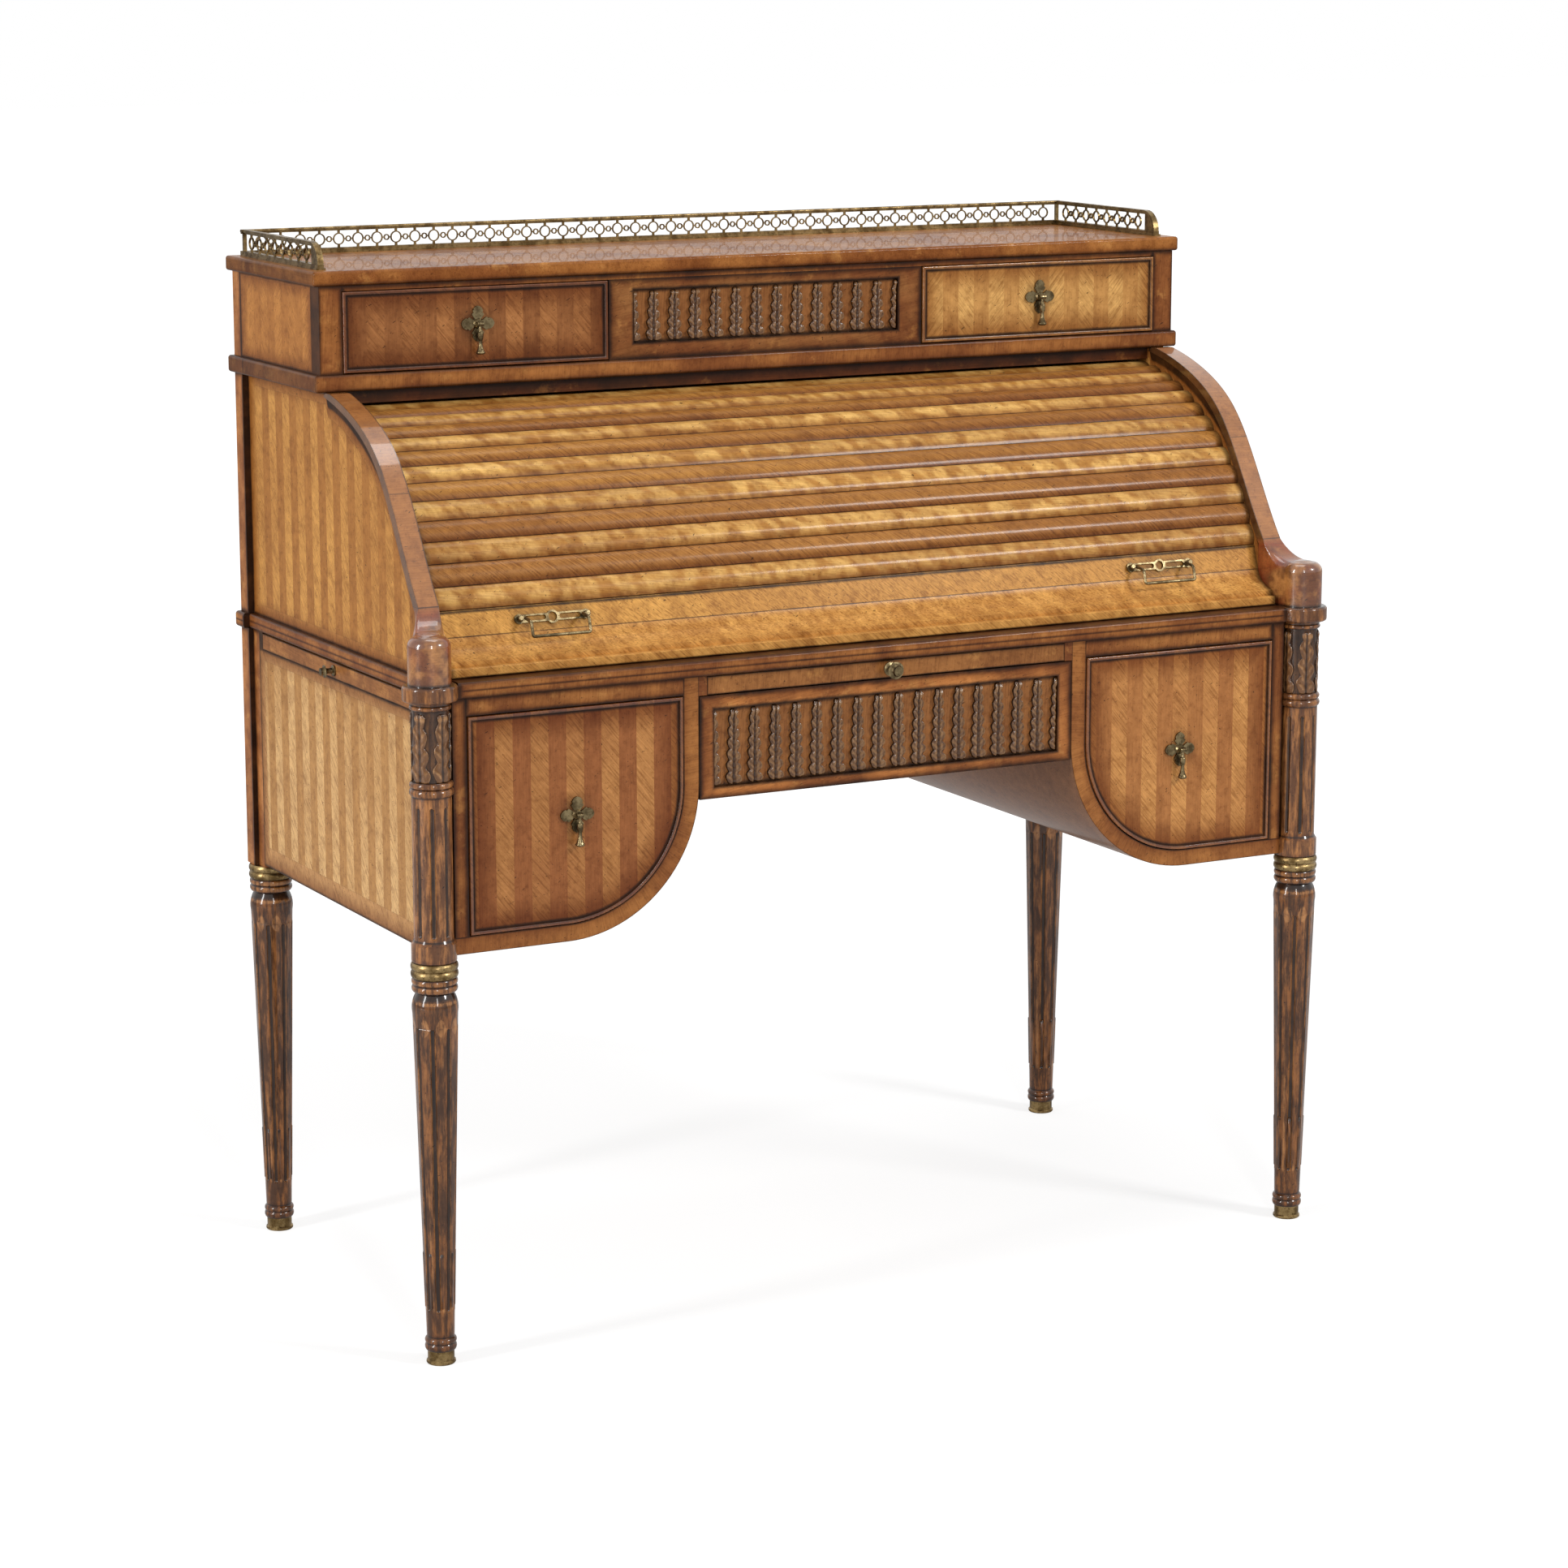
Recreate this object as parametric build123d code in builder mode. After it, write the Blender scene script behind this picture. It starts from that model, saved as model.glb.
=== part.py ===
"""Roll top desk: a fluted-column writing desk with a tambour roll, seven drawers and slides,
and a brass gallery.  Millimetres, floor at z = 0, front towards -Y, middle of the plan at x = y = 0."""
from build123d import *
from math import acos, atan2, cos, degrees, radians, sin
import os

os.makedirs("parts", exist_ok=True)

# ---------------------------------------------------------------- overall plan and levels
side_half = 545.0          # half width over the lower side panels
post_proud = 5.0           # how far the posts and the upper case stand out of the side panels
moulding_proud = 11.5      # the same for slab and mouldings
back_y = 288.0             # back of slab, mouldings and posts
case_front = -262.0        # face of the lower drawers
upper_front = 24.0         # face of the upper drawers
slab_lap = 3.0             # slab and waist board stand out of the upper drawers' face
case_bottom = 447.0
case_high = 275.5          # lower case, up to the desk moulding
desk_thick = 17.5
roll_high = 275.5          # between desk moulding and waist board
waist_thick = 19.0
upper_high = 96.0          # between waist board and slab
slab_thick = 16.5

post_half = side_half + post_proud
moulding_half = side_half + moulding_proud
slab_front = upper_front - slab_lap
desk_under = case_bottom + case_high
desk_top = desk_under + desk_thick
waist_under = desk_top + roll_high
waist_top = waist_under + waist_thick
slab_under = waist_top + upper_high
slab_top = slab_under + slab_thick

glue = 0.1                 # joint line between pieces that are fixed to each other
slip = 0.5                 # clearance round drawers, slides and the roll
board = 18.0               # thickness of a carcass board
back_board = 8.0           # thickness of a back panel
edge_round = 3.0           # softened edges of slab and waist board
corner_round = 2.5

# ---------------------------------------------------------------- legs and columns
leg_x = post_half
front_leg_y = case_front + 1
back_leg_x = leg_x - 21
back_leg_y = back_y - 23.4
ferrule_top = 15.2
ferrule_radius = 14.4
spigot_radius = 12.4
ankle_top = 31.0
ankle_radius = 15.0
leg_radius = 24.2
neck_radius = 20.0
sleeve_high = 16.5         # brass double ring between leg and column
sleeve_top = case_bottom - 3.5
leg_top = sleeve_top - sleeve_high
shoulder_z = leg_top - 39
bead_height = 7.5
ring_radius = 25.4
dowel_radius = 10.0
dowel_reach = 12.0
block_top = sleeve_top + 22.5
shaft_radius = 21.3
torus_low = desk_under - 100.5
torus_high = torus_low + 16
carved_top = desk_under - 8.5
carved_radius = 19.4       # ground of the carved zone, the leaves rise from it
collar_radius = 29.5
leg_flutes = 8
leg_flute_radius = 3.2
column_flutes = 8
column_flute_radius = 3.4
column_flute_low = block_top + 8
column_flute_high = torus_low - 13

# ---------------------------------------------------------------- pedestals and their drawers
knee_half = 236.5          # outer face of the pedestal shells
shell = 18.5               # thickness of the bent pedestal shell
curve_radius = 139.0       # quarter curve under each pedestal, inside the shell
curve_x = knee_half + shell + curve_radius
curve_z = case_bottom + shell + curve_radius
stile_x = side_half - 35.5     # inner edge of the corner post
post_depth = 37.0          # corner post, front to back
low_post_x = side_half - 42    # inner face of the lower back posts
low_post_y = back_y - 47   # front face of the lower back posts
frieze_low = desk_under - 20
frieze_depth = 22.0
front_thick = 20.0         # lower drawer fronts
bead_wide = 3.8
bead_proud = 1.9
bead_round = 1.1
box_wall = 10.0
box_base = 7.0
box_back = low_post_y - 6  # how far back the lower drawer boxes reach
box_gap = 4.0              # between drawer box and pedestal shell
box_top = frieze_low - 14.5
dust_top = desk_under - 21
dust_low = dust_top - 8.5

# ---------------------------------------------------------------- slides
slide_thick = 18.0
slide_front_y = case_front + 62    # side slides, front and rear edges
slide_rear_y = low_post_y - 11
slide_inner_x = knee_half + shell + 1
writing_slide_half = knee_half - 10.5
writing_slide_back = 140.0
writing_slide_low = desk_under - 21.5
writing_slide_top = desk_under - 2
knob_radius = 9.7
side_knob_radius = 7.5

# ---------------------------------------------------------------- knee drawer
knee_high = 113.5
knee_top = desk_under - 23
knee_low = knee_top - knee_high
knee_carving_half = knee_half - 18.5
knee_carving_low = knee_low + 12
knee_carving_top = knee_top - 15
knee_box_half = knee_half - 14.5
hanger_low = knee_low + 74
hanger_high = 10.0

# ---------------------------------------------------------------- roll
roll_z = desk_top - 28     # height of the roll's centre
head_gap = 16.2            # from the slats' crest to the waist board
slat_crest = waist_under - roll_z - head_gap
slat_valley = slat_crest - 4.1
slat_back = slat_crest - 10.3      # radius of the slats' flat backs
roll_y = case_front + 38.7 + slat_crest
slat_low = 19.2            # where the lowest slat begins, in degrees above the front
slat_step = 5.2
slat_count = 13
slat_gap = 0.4
canvas = 1.4
tongue_in = slat_back + 1
tongue_out = slat_back + 5.2
tongue_reach = 8.2
groove_play = 0.8
groove_stop = 14.3         # the side grooves stop this far in front of the posts' back
groove_turn = 14.0         # degrees of the groove that run in the posts
roll_side_inner = side_half - 24
roll_side_outer = side_half - 2
roll_post_y = back_y - 28
roll_panel_y = back_y - 11
lip_foot_front = case_front + 12
lip_foot_high = 8.7
lip_step = 5.6             # small upright step above the lip's foot
lip_clear = 1.3            # gap under the lip when the roll is shut
lip_face_foot = (case_front + 48.4, desk_top + 38)

# the rim's course from the waist board down to the cap: rise over the slats and angle
rim_course = ((20.9, 81.8), (21.0, 68.3), (20.8, 54.2), (11.0, 41.3), (16.3, 19.6))
rim_shift = (9.0, -6.0)    # from the rim's face to its seat on the side board
cap_radius = 23.0
cap_top = desk_top + 51
cap_round = 11.0
cap_dome = 1.6
cap_root = 30.0            # the rim is drawn this far below the desk, then cut off level

# ---------------------------------------------------------------- upper case
stile_wide = 27.0
frame_thick = 22.0
centre_half = 202.0        # centre frame between the upper drawers
centre_thick = 16.0
divider = 12.0
upper_drawer_thick = 18.0
centre_carving_half = centre_half - 31
centre_carving_low = waist_top + 18
centre_carving_top = slab_under - 18
upper_opening_top = slab_under - 5.7
upper_panel_front = back_y - 20
upper_box_back = upper_panel_front - 6
upper_box_top = upper_opening_top - 12.8
carving_recess = 6.0
carving_thick = 8.0

# ---------------------------------------------------------------- gallery
gallery_half = moulding_half - 13.5
gallery_back = back_y - 13.5
gallery_front = slab_front + 22
gallery_wide = 8.0
gallery_base = 5.5
gallery_flange = 1.4       # lowest step of the base, on both sides
gallery_flange_high = 2.0
gallery_high = 29.5
rail_high = 4.8
rail_neck = 1.8            # narrow lower part of the top rail
ring_pitch = 23.6
big_ring = 6.9
small_ring = 3.5
ring_wall = 1.3
ring_thick = 2.2

# ---------------------------------------------------------------- brass pulls
upper_pull_up = 48.5       # above the waist board
lower_pull_down = 19.3     # below the centre of the pedestal's curve
plate_reach = 19.8         # from the middle of a plate to the tip of each lobe
plate_thick = 2.2
boss_radius = 6.0
pin_out = 8.0              # hinge pin in front of the drawer face
pin_radius = 1.0
pin_play = 0.05
eye_radius = 2.7
eye_half = 1.9
ear = 1.5
ear_round = 2.6
drop_length = 33.5
drop_radius = 5.0
drop_split = 1.6           # width of the cleft at the foot of a drop
bail_x = roll_side_inner - 136
bail_z = desk_top + 51
bail_out = 6.0             # pivot in front of the lip's face
bail_reach = 15.5          # arms run this far out, then turn down
bail_splay = 4.5
bail_sag = 2.0
bail_drop = 17.0
bail_half = 33.8
bail_rod = 1.7
bail_post_x = 39.0
bail_post_radius = 3.2
bail_eye = 5.4
bar_half = 4.4             # half width over the two thin bars of a handle plate
bar_wide = 1.7
bail_ring = 7.2
bail_ring_wall = 2.2


# ================================================================ helpers
def save(name, label):
    """Write one finished piece."""
    name.part.label = label
    export_step(name.part, f"parts/{label}.step")


def save_hands(right, label):
    """Write a right-hand piece and its mirror image as two nodes."""
    with BuildPart() as left:
        mirror(right.part, about=Plane.YZ)
    save(right, label + "_right")
    save(left, label + "_left")


def save_pair(right, label):
    """Write a piece and its mirror image as one node."""
    with BuildPart() as pair:
        add(right.part)
        mirror(right.part, about=Plane.YZ)
    save(pair, label)


def slab_between(x, y, z, mode=Mode.ADD):
    """A plain board, each argument giving its low and high side."""
    with Locations(((x[0] + x[1]) / 2, (y[0] + y[1]) / 2, (z[0] + z[1]) / 2)):
        Box(x[1] - x[0], y[1] - y[0], z[1] - z[0], mode=mode)


def turned(profile):
    """A turning about Z; each entry is a radius, a height and the bulge of the stretch up to it."""
    with BuildPart() as turning:
        with BuildSketch(Plane.XZ):
            with BuildLine():
                Line((0, profile[0][1]), profile[0][:2])
                for low, high in zip(profile, profile[1:]):
                    if high[2]:
                        SagittaArc(low[:2], high[:2], high[2])
                    else:
                        Line(low[:2], high[:2])
                Polyline(profile[-1][:2], (0, profile[-1][1]), (0, profile[0][1]))
            make_face()
        revolve(axis=Axis.Z)
    return turning.part


def facing(x, y, z, towards):
    """A place whose local Z points along the given direction, for knobs and pulls."""
    return Plane(origin=(x, y, z), x_dir=(towards[1], -towards[0], 0), z_dir=towards).location


def on_arc(radius, angle):
    """The (y, z) point at a radius and an angle above the front, about the roll's centre."""
    return (roll_y - radius * cos(radians(angle)), roll_z + radius * sin(radians(angle)))


def arc_band(inner, outer, low, high, x):
    """A sketch at plane x of the band between two radii and two angles of the roll."""
    middle = (low + high) / 2
    with BuildSketch(Plane.YZ.offset(x)) as band:
        with BuildLine():
            ThreePointArc(on_arc(inner, low), on_arc(inner, middle), on_arc(inner, high))
            Line(on_arc(inner, high), on_arc(outer, high))
            ThreePointArc(on_arc(outer, high), on_arc(outer, middle), on_arc(outer, low))
            Line(on_arc(outer, low), on_arc(inner, low))
        make_face()
    return band.sketch


def pedestal_section(y, inset, top, reach=stile_x):
    """The pedestal's outline at plane y, drawn in by inset: straight sides and a quarter curve."""
    radius = curve_radius - inset
    low = curve_z - radius
    middle = radius * cos(radians(45))
    with BuildSketch(Plane.XZ.offset(-y)) as section:
        with BuildLine():
            Line((curve_x - radius, top), (curve_x - radius, curve_z))
            ThreePointArc((curve_x - radius, curve_z), (curve_x - middle, curve_z - middle),
                          (curve_x, low))
            Polyline((curve_x, low), (reach - inset, low), (reach - inset, top),
                     (curve_x - radius, top))
        make_face()
    return section.sketch


def column_place(mode_radius, low, high):
    """Cut the round seat of the right front column out of the open piece."""
    with Locations((leg_x, front_leg_y, (low + high) / 2)):
        Cylinder(mode_radius, high - low, mode=Mode.SUBTRACT)


# ================================================================ top and gallery
def moulded_board(y0, z0, z1):
    """A full-width board with softened edges, used for the slab and the waist."""
    with BuildPart() as piece:
        slab_between((-moulding_half, moulding_half), (y0, back_y), (z0, z1))
        fillet(piece.edges().filter_by(Axis.Z), corner_round)
        fillet(piece.faces().sort_by(Axis.Z)[-1].edges(), edge_round)
        fillet(piece.faces().sort_by(Axis.Z)[0].edges(), edge_round)
    return piece


save(moulded_board(slab_front, slab_under, slab_top), "top_slab")
save(moulded_board(slab_front, waist_under, waist_top), "waist_board")

rail_under = slab_top + gallery_high - rail_high
ring_z = (slab_top + gallery_base + rail_under) / 2
ring_band_high = rail_under - slab_top - gallery_base + 1.0


def ring_row(plane, middle, length):
    """A fretted row of large and small rings, tied along their middles."""
    count = int(length // ring_pitch)
    with BuildPart() as row:
        with BuildSketch(plane):
            with Locations((middle, ring_z)):
                Rectangle((count - 1) * ring_pitch, ring_wall)
                with GridLocations(ring_pitch, 0, count, 1):
                    Circle(big_ring)
                    Rectangle(ring_wall * 2, ring_band_high)
                with GridLocations(ring_pitch, 0, count - 1, 1):
                    Circle(small_ring)
                with GridLocations(ring_pitch, 0, count, 1):
                    Circle(big_ring - ring_wall, mode=Mode.SUBTRACT)
                with GridLocations(ring_pitch, 0, count - 1, 1):
                    Circle(small_ring - ring_wall, mode=Mode.SUBTRACT)
        extrude(amount=ring_thick / 2, both=True)
    return row.part


gallery_mid = gallery_wide / 2
rail_top = slab_top + gallery_high
rail_step = rail_under + rail_neck
with BuildPart() as gallery_rear:
    rear = (gallery_back - gallery_wide, gallery_back)
    for inset, low, high in ((-gallery_flange, slab_top, slab_top + gallery_flange_high),
                             (0, slab_top, slab_top + gallery_base),
                             (2, rail_under, rail_top), (0.5, rail_step, rail_top)):
        slab_between((-gallery_half - min(inset, 0), gallery_half + min(inset, 0)),
                     (rear[0] + inset, rear[1] - inset), (low, high))
    fillet(gallery_rear.faces().sort_by(Axis.Z)[-1].edges().filter_by(Axis.X), 1.4)
    for end in (-1, 1):
        with Locations((end * (gallery_half - gallery_mid), gallery_back - gallery_mid, ring_z)):
            Box(4, 4, ring_band_high)
    add(ring_row(Plane.XZ.offset(-(gallery_back - gallery_mid)), 0,
                 2 * (gallery_half - gallery_wide)))

run_back = gallery_back - gallery_wide - gallery_flange - glue
base_top = slab_top + gallery_base
turn_y = gallery_front + rail_top - base_top
web_radius = rail_under - base_top + 0.3


def side_rail(inset, low, high):
    """One step of the side rail, with its quarter turn down to the base."""
    level = (low + high) / 2
    with BuildSketch(Plane.YZ.offset(gallery_half - gallery_wide + inset)) as band:
        with BuildLine():
            Line((run_back, level), (turn_y, level))
            JernArc((turn_y, level), (-1, 0), level - base_top + 0.2, 90)
        trace(line_width=high - low)
    extrude(band.sketch, amount=gallery_wide - 2 * inset)


with BuildPart() as gallery_side:
    for inset, high in ((-gallery_flange, gallery_flange_high), (0, gallery_base)):
        slab_between((gallery_half - gallery_wide + inset, gallery_half - inset),
                     (gallery_front + inset, run_back), (slab_top, slab_top + high))
    side_rail(2, rail_under, rail_step + 0.3)
    side_rail(0.5, rail_step, rail_top)
    # the web that fills the turned-down end
    with BuildSketch(Plane.YZ.offset(gallery_half - gallery_mid - ring_thick / 2)):
        with BuildLine():
            Polyline((turn_y, base_top + web_radius), (turn_y, base_top - 0.3),
                     (turn_y - web_radius, base_top - 0.3), (turn_y - web_radius, base_top))
            RadiusArc((turn_y - web_radius, base_top), (turn_y, base_top + web_radius), web_radius)
        make_face()
    extrude(amount=ring_thick)
    add(ring_row(Plane.YZ.offset(gallery_half - gallery_mid), (turn_y + run_back) / 2,
                 run_back - turn_y - 2))
with BuildPart() as gallery:
    add(gallery_rear.part)
    add(gallery_side.part)
    mirror(gallery_side.part, about=Plane.YZ)
save(gallery, "gallery")

# ================================================================ upper case
upper_z = (waist_top + glue, slab_under - glue)
upper_inner = post_half - board
stile_inner = post_half - stile_wide

with BuildPart() as upper_side:
    slab_between((upper_inner, post_half), (upper_front + frame_thick + glue, roll_post_y - glue),
                 upper_z)
save_pair(upper_side, "upper_sides")

with BuildPart() as upper_frame:
    slab_between((stile_inner, post_half), (upper_front, upper_front + frame_thick), upper_z)
    slab_between((-post_half, -stile_inner), (upper_front, upper_front + frame_thick), upper_z)
    slab_between((-stile_inner + glue, stile_inner - glue), (upper_front, upper_front + frame_thick),
                 (upper_opening_top, upper_z[1]))
save(upper_frame, "upper_front_frame")

with BuildPart() as upper_divider:
    slab_between((centre_half - divider, centre_half), (upper_front + centre_thick + glue,
                 upper_panel_front - glue), upper_z)
    slab_between((centre_half - divider - 1, centre_half + 1),
                 (upper_front, upper_front + frame_thick + glue),
                 (upper_opening_top - glue, slab_under), mode=Mode.SUBTRACT)
save_pair(upper_divider, "upper_dividers")

with BuildPart() as centre_frame:
    slab_between((-centre_half, centre_half), (upper_front, upper_front + centre_thick),
                 (upper_z[0], upper_opening_top - glue))
    slab_between((-centre_carving_half, centre_carving_half), (upper_front, upper_front + centre_thick),
                 (centre_carving_low, centre_carving_top), mode=Mode.SUBTRACT)
save(centre_frame, "centre_frame")

with BuildPart() as centre_carving:
    slab_between((-centre_carving_half + glue, centre_carving_half - glue),
                 (upper_front + carving_recess, upper_front + carving_recess + carving_thick),
                 (centre_carving_low + glue, centre_carving_top - glue))
save(centre_carving, "centre_carved_panel")

upper_drawer_x = (centre_half + 1.7, stile_inner - 0.7)
upper_drawer_z = (waist_top + 1.2, upper_opening_top - 0.9)
with BuildPart() as upper_drawer_front:
    slab_between(upper_drawer_x, (upper_front, upper_front + upper_drawer_thick), upper_drawer_z)
    slab_between(upper_drawer_x, (upper_front - bead_proud, upper_front + 1), upper_drawer_z)
    slab_between((upper_drawer_x[0] + bead_wide, upper_drawer_x[1] - bead_wide),
                 (upper_front - bead_proud, upper_front),
                 (upper_drawer_z[0] + bead_wide, upper_drawer_z[1] - bead_wide),
                 mode=Mode.SUBTRACT)
    fillet(upper_drawer_front.faces().sort_by(Axis.Y)[0].edges(), bead_round)
save_hands(upper_drawer_front, "upper_drawer_front")


def open_box(x, y, z, hangers=False):
    """Right and left side, back and bottom of a drawer, behind a front at y[0]."""
    with BuildPart() as box:
        for side in ((x[0], x[0] + box_wall), (x[1] - box_wall, x[1])):
            slab_between(side, (y[0] + glue, y[1]), z)
        inside = (x[0] + box_wall + glue, x[1] - box_wall - glue)
        slab_between(inside, (y[1] - box_wall, y[1]), z)
        slab_between(inside, (y[0] + glue, y[1] - box_wall - glue), (z[0], z[0] + box_base))
        if hangers:
            for side in ((x[0] - 13.4, x[0] - glue), (x[1] + glue, x[1] + 13.4)):
                slab_between(side, (y[0] + 8, y[1] - 5), (hanger_low, hanger_low + hanger_high))
    return box


save_hands(open_box((centre_half + 3, stile_inner - 4), (upper_front + upper_drawer_thick, upper_box_back),
                    (waist_top + slip, upper_box_top)), "upper_drawer_box")

# ================================================================ roll compartment
groove_end = 180 - degrees(acos((back_y - groove_stop - roll_y) / (tongue_in + 2)))
rim_face = [on_arc(slat_crest + rise, angle) for rise, angle in rim_course]


def groove(low, high):
    """Cut the right-hand track for the slats' tongues out of the open piece."""
    cut = arc_band(tongue_in - groove_play, tongue_out + groove_play, low, high,
                   roll_side_inner - 1)
    extrude(cut, amount=tongue_reach + groove_play + 1, mode=Mode.SUBTRACT)


with BuildPart() as roll_side:
    with BuildSketch(Plane.YZ.offset(roll_side_inner)):
        with BuildLine():
            seat = [(y + rim_shift[0] + 0.3, z + rim_shift[1] - 0.2) for y, z in rim_face]
            curve = Spline(*seat)
            Polyline(curve @ 1, (seat[-1][0], desk_top + glue), (roll_post_y - glue, desk_top + glue),
                     (roll_post_y - glue, waist_under + 5), (seat[0][0], waist_under + 5), curve @ 0)
        make_face()
    extrude(amount=roll_side_outer - roll_side_inner)
    slab_between((roll_side_inner - 1, roll_side_outer + 1), (-300, 300),
                 (waist_under - glue, waist_under + 40), mode=Mode.SUBTRACT)
    groove(slat_low, groove_end)
save_hands(roll_side, "roll_side")

with BuildPart() as roll_rim:
    with BuildSketch(Plane.YZ.offset(roll_side_inner)):
        with BuildLine():
            face = Spline(*rim_face)
            back = Spline(*[(y + rim_shift[0], z + rim_shift[1]) for y, z in rim_face])
            Line(face @ 0, back @ 0)
            Polyline(back @ 1, ((back @ 1).X, desk_top + glue), ((face @ 1).X, desk_top + glue),
                     face @ 1)
        make_face()
    extrude(amount=side_half - roll_side_inner)
    slab_between((roll_side_inner - 1, side_half + 1), (-300, 300),
                 (waist_under - glue, waist_under + 40), mode=Mode.SUBTRACT)
    # the rim flows out and forward into the cap over the column
    sunk = 0.4
    for y, x, top, corner in (
            (rim_face[-1][0], (roll_side_inner, side_half), rim_face[-1][1], 0.8),
            (front_leg_y + 25, (roll_side_inner + 2, leg_x + 6), cap_top + 7.5, 6.0),
            (front_leg_y, (leg_x - cap_radius + sunk, leg_x + cap_radius - sunk),
             cap_top - sunk, cap_round)):
        with BuildSketch(Plane.XZ.offset(-y)):
            with Locations(((x[0] + x[1]) / 2, (top + desk_top - cap_root) / 2)):
                RectangleRounded(x[1] - x[0], top - desk_top + cap_root, corner)
    loft()
    with Locations((leg_x, front_leg_y, 0)):
        add(turned([(cap_radius, desk_top - cap_root, 0), (cap_radius, cap_top - cap_round, 0),
                    (cap_radius - cap_round, cap_top, (cos(radians(45)) - 1) * cap_round),
                    (0.5, cap_top + cap_dome, -0.5)]))
    slab_between((leg_x - 60, leg_x + 60), (-300, 0), (desk_top - cap_root - 10, desk_top + glue),
                 mode=Mode.SUBTRACT)
save_hands(roll_rim, "roll_rim")

with BuildPart() as roll_head_rail:
    slab_between((-roll_side_inner + glue, roll_side_inner - glue), (slab_front + 9, slab_front + 21),
                 (roll_z + slat_crest + 2.2, waist_under - glue))
save(roll_head_rail, "roll_head_rail")

# ---------------------------------------------------------------- the roll itself
roll_half = roll_side_inner - slip
with BuildPart() as slats:
    for number in range(slat_count):
        low = slat_low + number * slat_step + slat_gap / 10
        high = slat_low + (number + 1) * slat_step - slat_gap / 10
        middle = (low + high) / 2
        with BuildSketch(Plane.YZ.offset(-roll_half)):
            with BuildLine():
                ThreePointArc(on_arc(slat_back, low), on_arc(slat_back, middle),
                              on_arc(slat_back, high))
                Line(on_arc(slat_back, high), on_arc(slat_valley, high))
                ThreePointArc(on_arc(slat_valley, high), on_arc(slat_crest, middle),
                              on_arc(slat_valley, low))
                Line(on_arc(slat_valley, low), on_arc(slat_back, low))
            make_face()
        extrude(amount=2 * roll_half)
        for end in (-1, 1):
            tongue = arc_band(tongue_in, tongue_out, low, high, end * (roll_half - 1))
            extrude(tongue, amount=end * (tongue_reach + slip + 0.5))
save(slats, "roll_slats")

with BuildPart() as backing:
    extrude(arc_band(slat_back - glue - canvas, slat_back - glue, slat_low,
                     slat_low + slat_count * slat_step, -roll_half + 10),
            amount=2 * (roll_half - 10))
save(backing, "roll_canvas")

lip_low = desk_top + lip_clear
lip_face_top = on_arc(slat_valley + 1, slat_low - 0.1)
with BuildPart() as lip:
    with BuildSketch(Plane.YZ.offset(-roll_half)):
        with BuildLine():
            down = Vector(lip_face_foot[0] - lip_face_top[0], lip_face_foot[1] - lip_face_top[1])
            Line(lip_face_top, lip_face_foot)
            ledge = (lip_foot_front + 8.5, lip_low + lip_foot_high + 1 + lip_step)
            Spline(lip_face_foot, ledge, tangents=[down, (-0.95, -0.31)])
            Polyline(ledge, (ledge[0] + 0.4, ledge[1] - lip_step),
                     (lip_foot_front + 1, lip_low + lip_foot_high + 0.7),
                     (lip_foot_front, lip_low + lip_foot_high), (lip_foot_front, lip_low),
                     (lip_foot_front + 38, lip_low), on_arc(270, slat_low - 0.1), lip_face_top)
        make_face()
    extrude(amount=2 * roll_half)
save(lip, "roll_lip")

# ---------------------------------------------------------------- bail handles on the lip
lip_tilt = Vector(0, down.X, down.Y).normalized()
lip_normal = Vector(0, lip_tilt.Z, -lip_tilt.Y)
lip_y = lip_face_top[0] + (bail_z - lip_face_top[1]) * down.X / down.Y
pivot = Vector(bail_x, lip_y, bail_z) + lip_normal * bail_out
lip_plane = Plane(origin=(bail_x, lip_y, bail_z), x_dir=(1, 0, 0), z_dir=lip_normal)

slot_low = bail_ring + 0.6
slot_high = bail_post_x - bail_eye - 0.6
with BuildPart() as bail_plate:
    with BuildSketch(lip_plane.offset(glue)):
        Rectangle(2 * bail_post_x, 2 * bar_half)
        Circle(bail_ring)
        with Locations((-bail_post_x, 0), (bail_post_x, 0)):
            Circle(bail_eye)
        Circle(bail_ring - bail_ring_wall, mode=Mode.SUBTRACT)
        with Locations((-(slot_low + slot_high) / 2, 0), ((slot_low + slot_high) / 2, 0)):
            SlotOverall(slot_high - slot_low, 2 * (bar_half - bar_wide), mode=Mode.SUBTRACT)
    extrude(amount=2.4)
    with BuildSketch(lip_plane.offset(glue)):
        with Locations((-bail_post_x, 0), (bail_post_x, 0)):
            Circle(bail_post_radius)
    extrude(amount=bail_out + 2.6)
    fillet(bail_plate.faces().sort_by(Axis(origin=(0, 0, 0), direction=lip_normal))[-2:].edges(), 1.2)
    with Locations(Location(pivot, (0, 90, 0))):
        Cylinder(bail_rod - 0.3 + pin_play, 2 * bail_post_x + 20, mode=Mode.SUBTRACT)
save_pair(bail_plate, "roll_handle_plates")

with BuildPart() as bail:
    elbow = Vector(0, -bail_reach, -bail_sag)
    foot = elbow + Vector(0, -bail_splay, bail_sag - bail_drop)
    left_end = pivot - Vector(bail_half, 0, 0)
    right_end = pivot + Vector(bail_half, 0, 0)
    with BuildLine():
        FilletPolyline(left_end, left_end + elbow, left_end + foot, right_end + foot,
                       right_end + elbow, right_end, radius=[5.0, 2.2, 2.2, 5.0])
    with BuildSketch(Plane(origin=left_end, z_dir=elbow)):
        Circle(bail_rod)
    sweep()
    with Locations(Location(pivot, (0, 90, 0))):
        with Locations((0, 0, bail_half + 3.2), (0, 0, -bail_half - 3.2)):
            Cylinder(bail_rod - 0.3, 6.4 + bail_rod)
save_hands(bail, "roll_bail")

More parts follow.
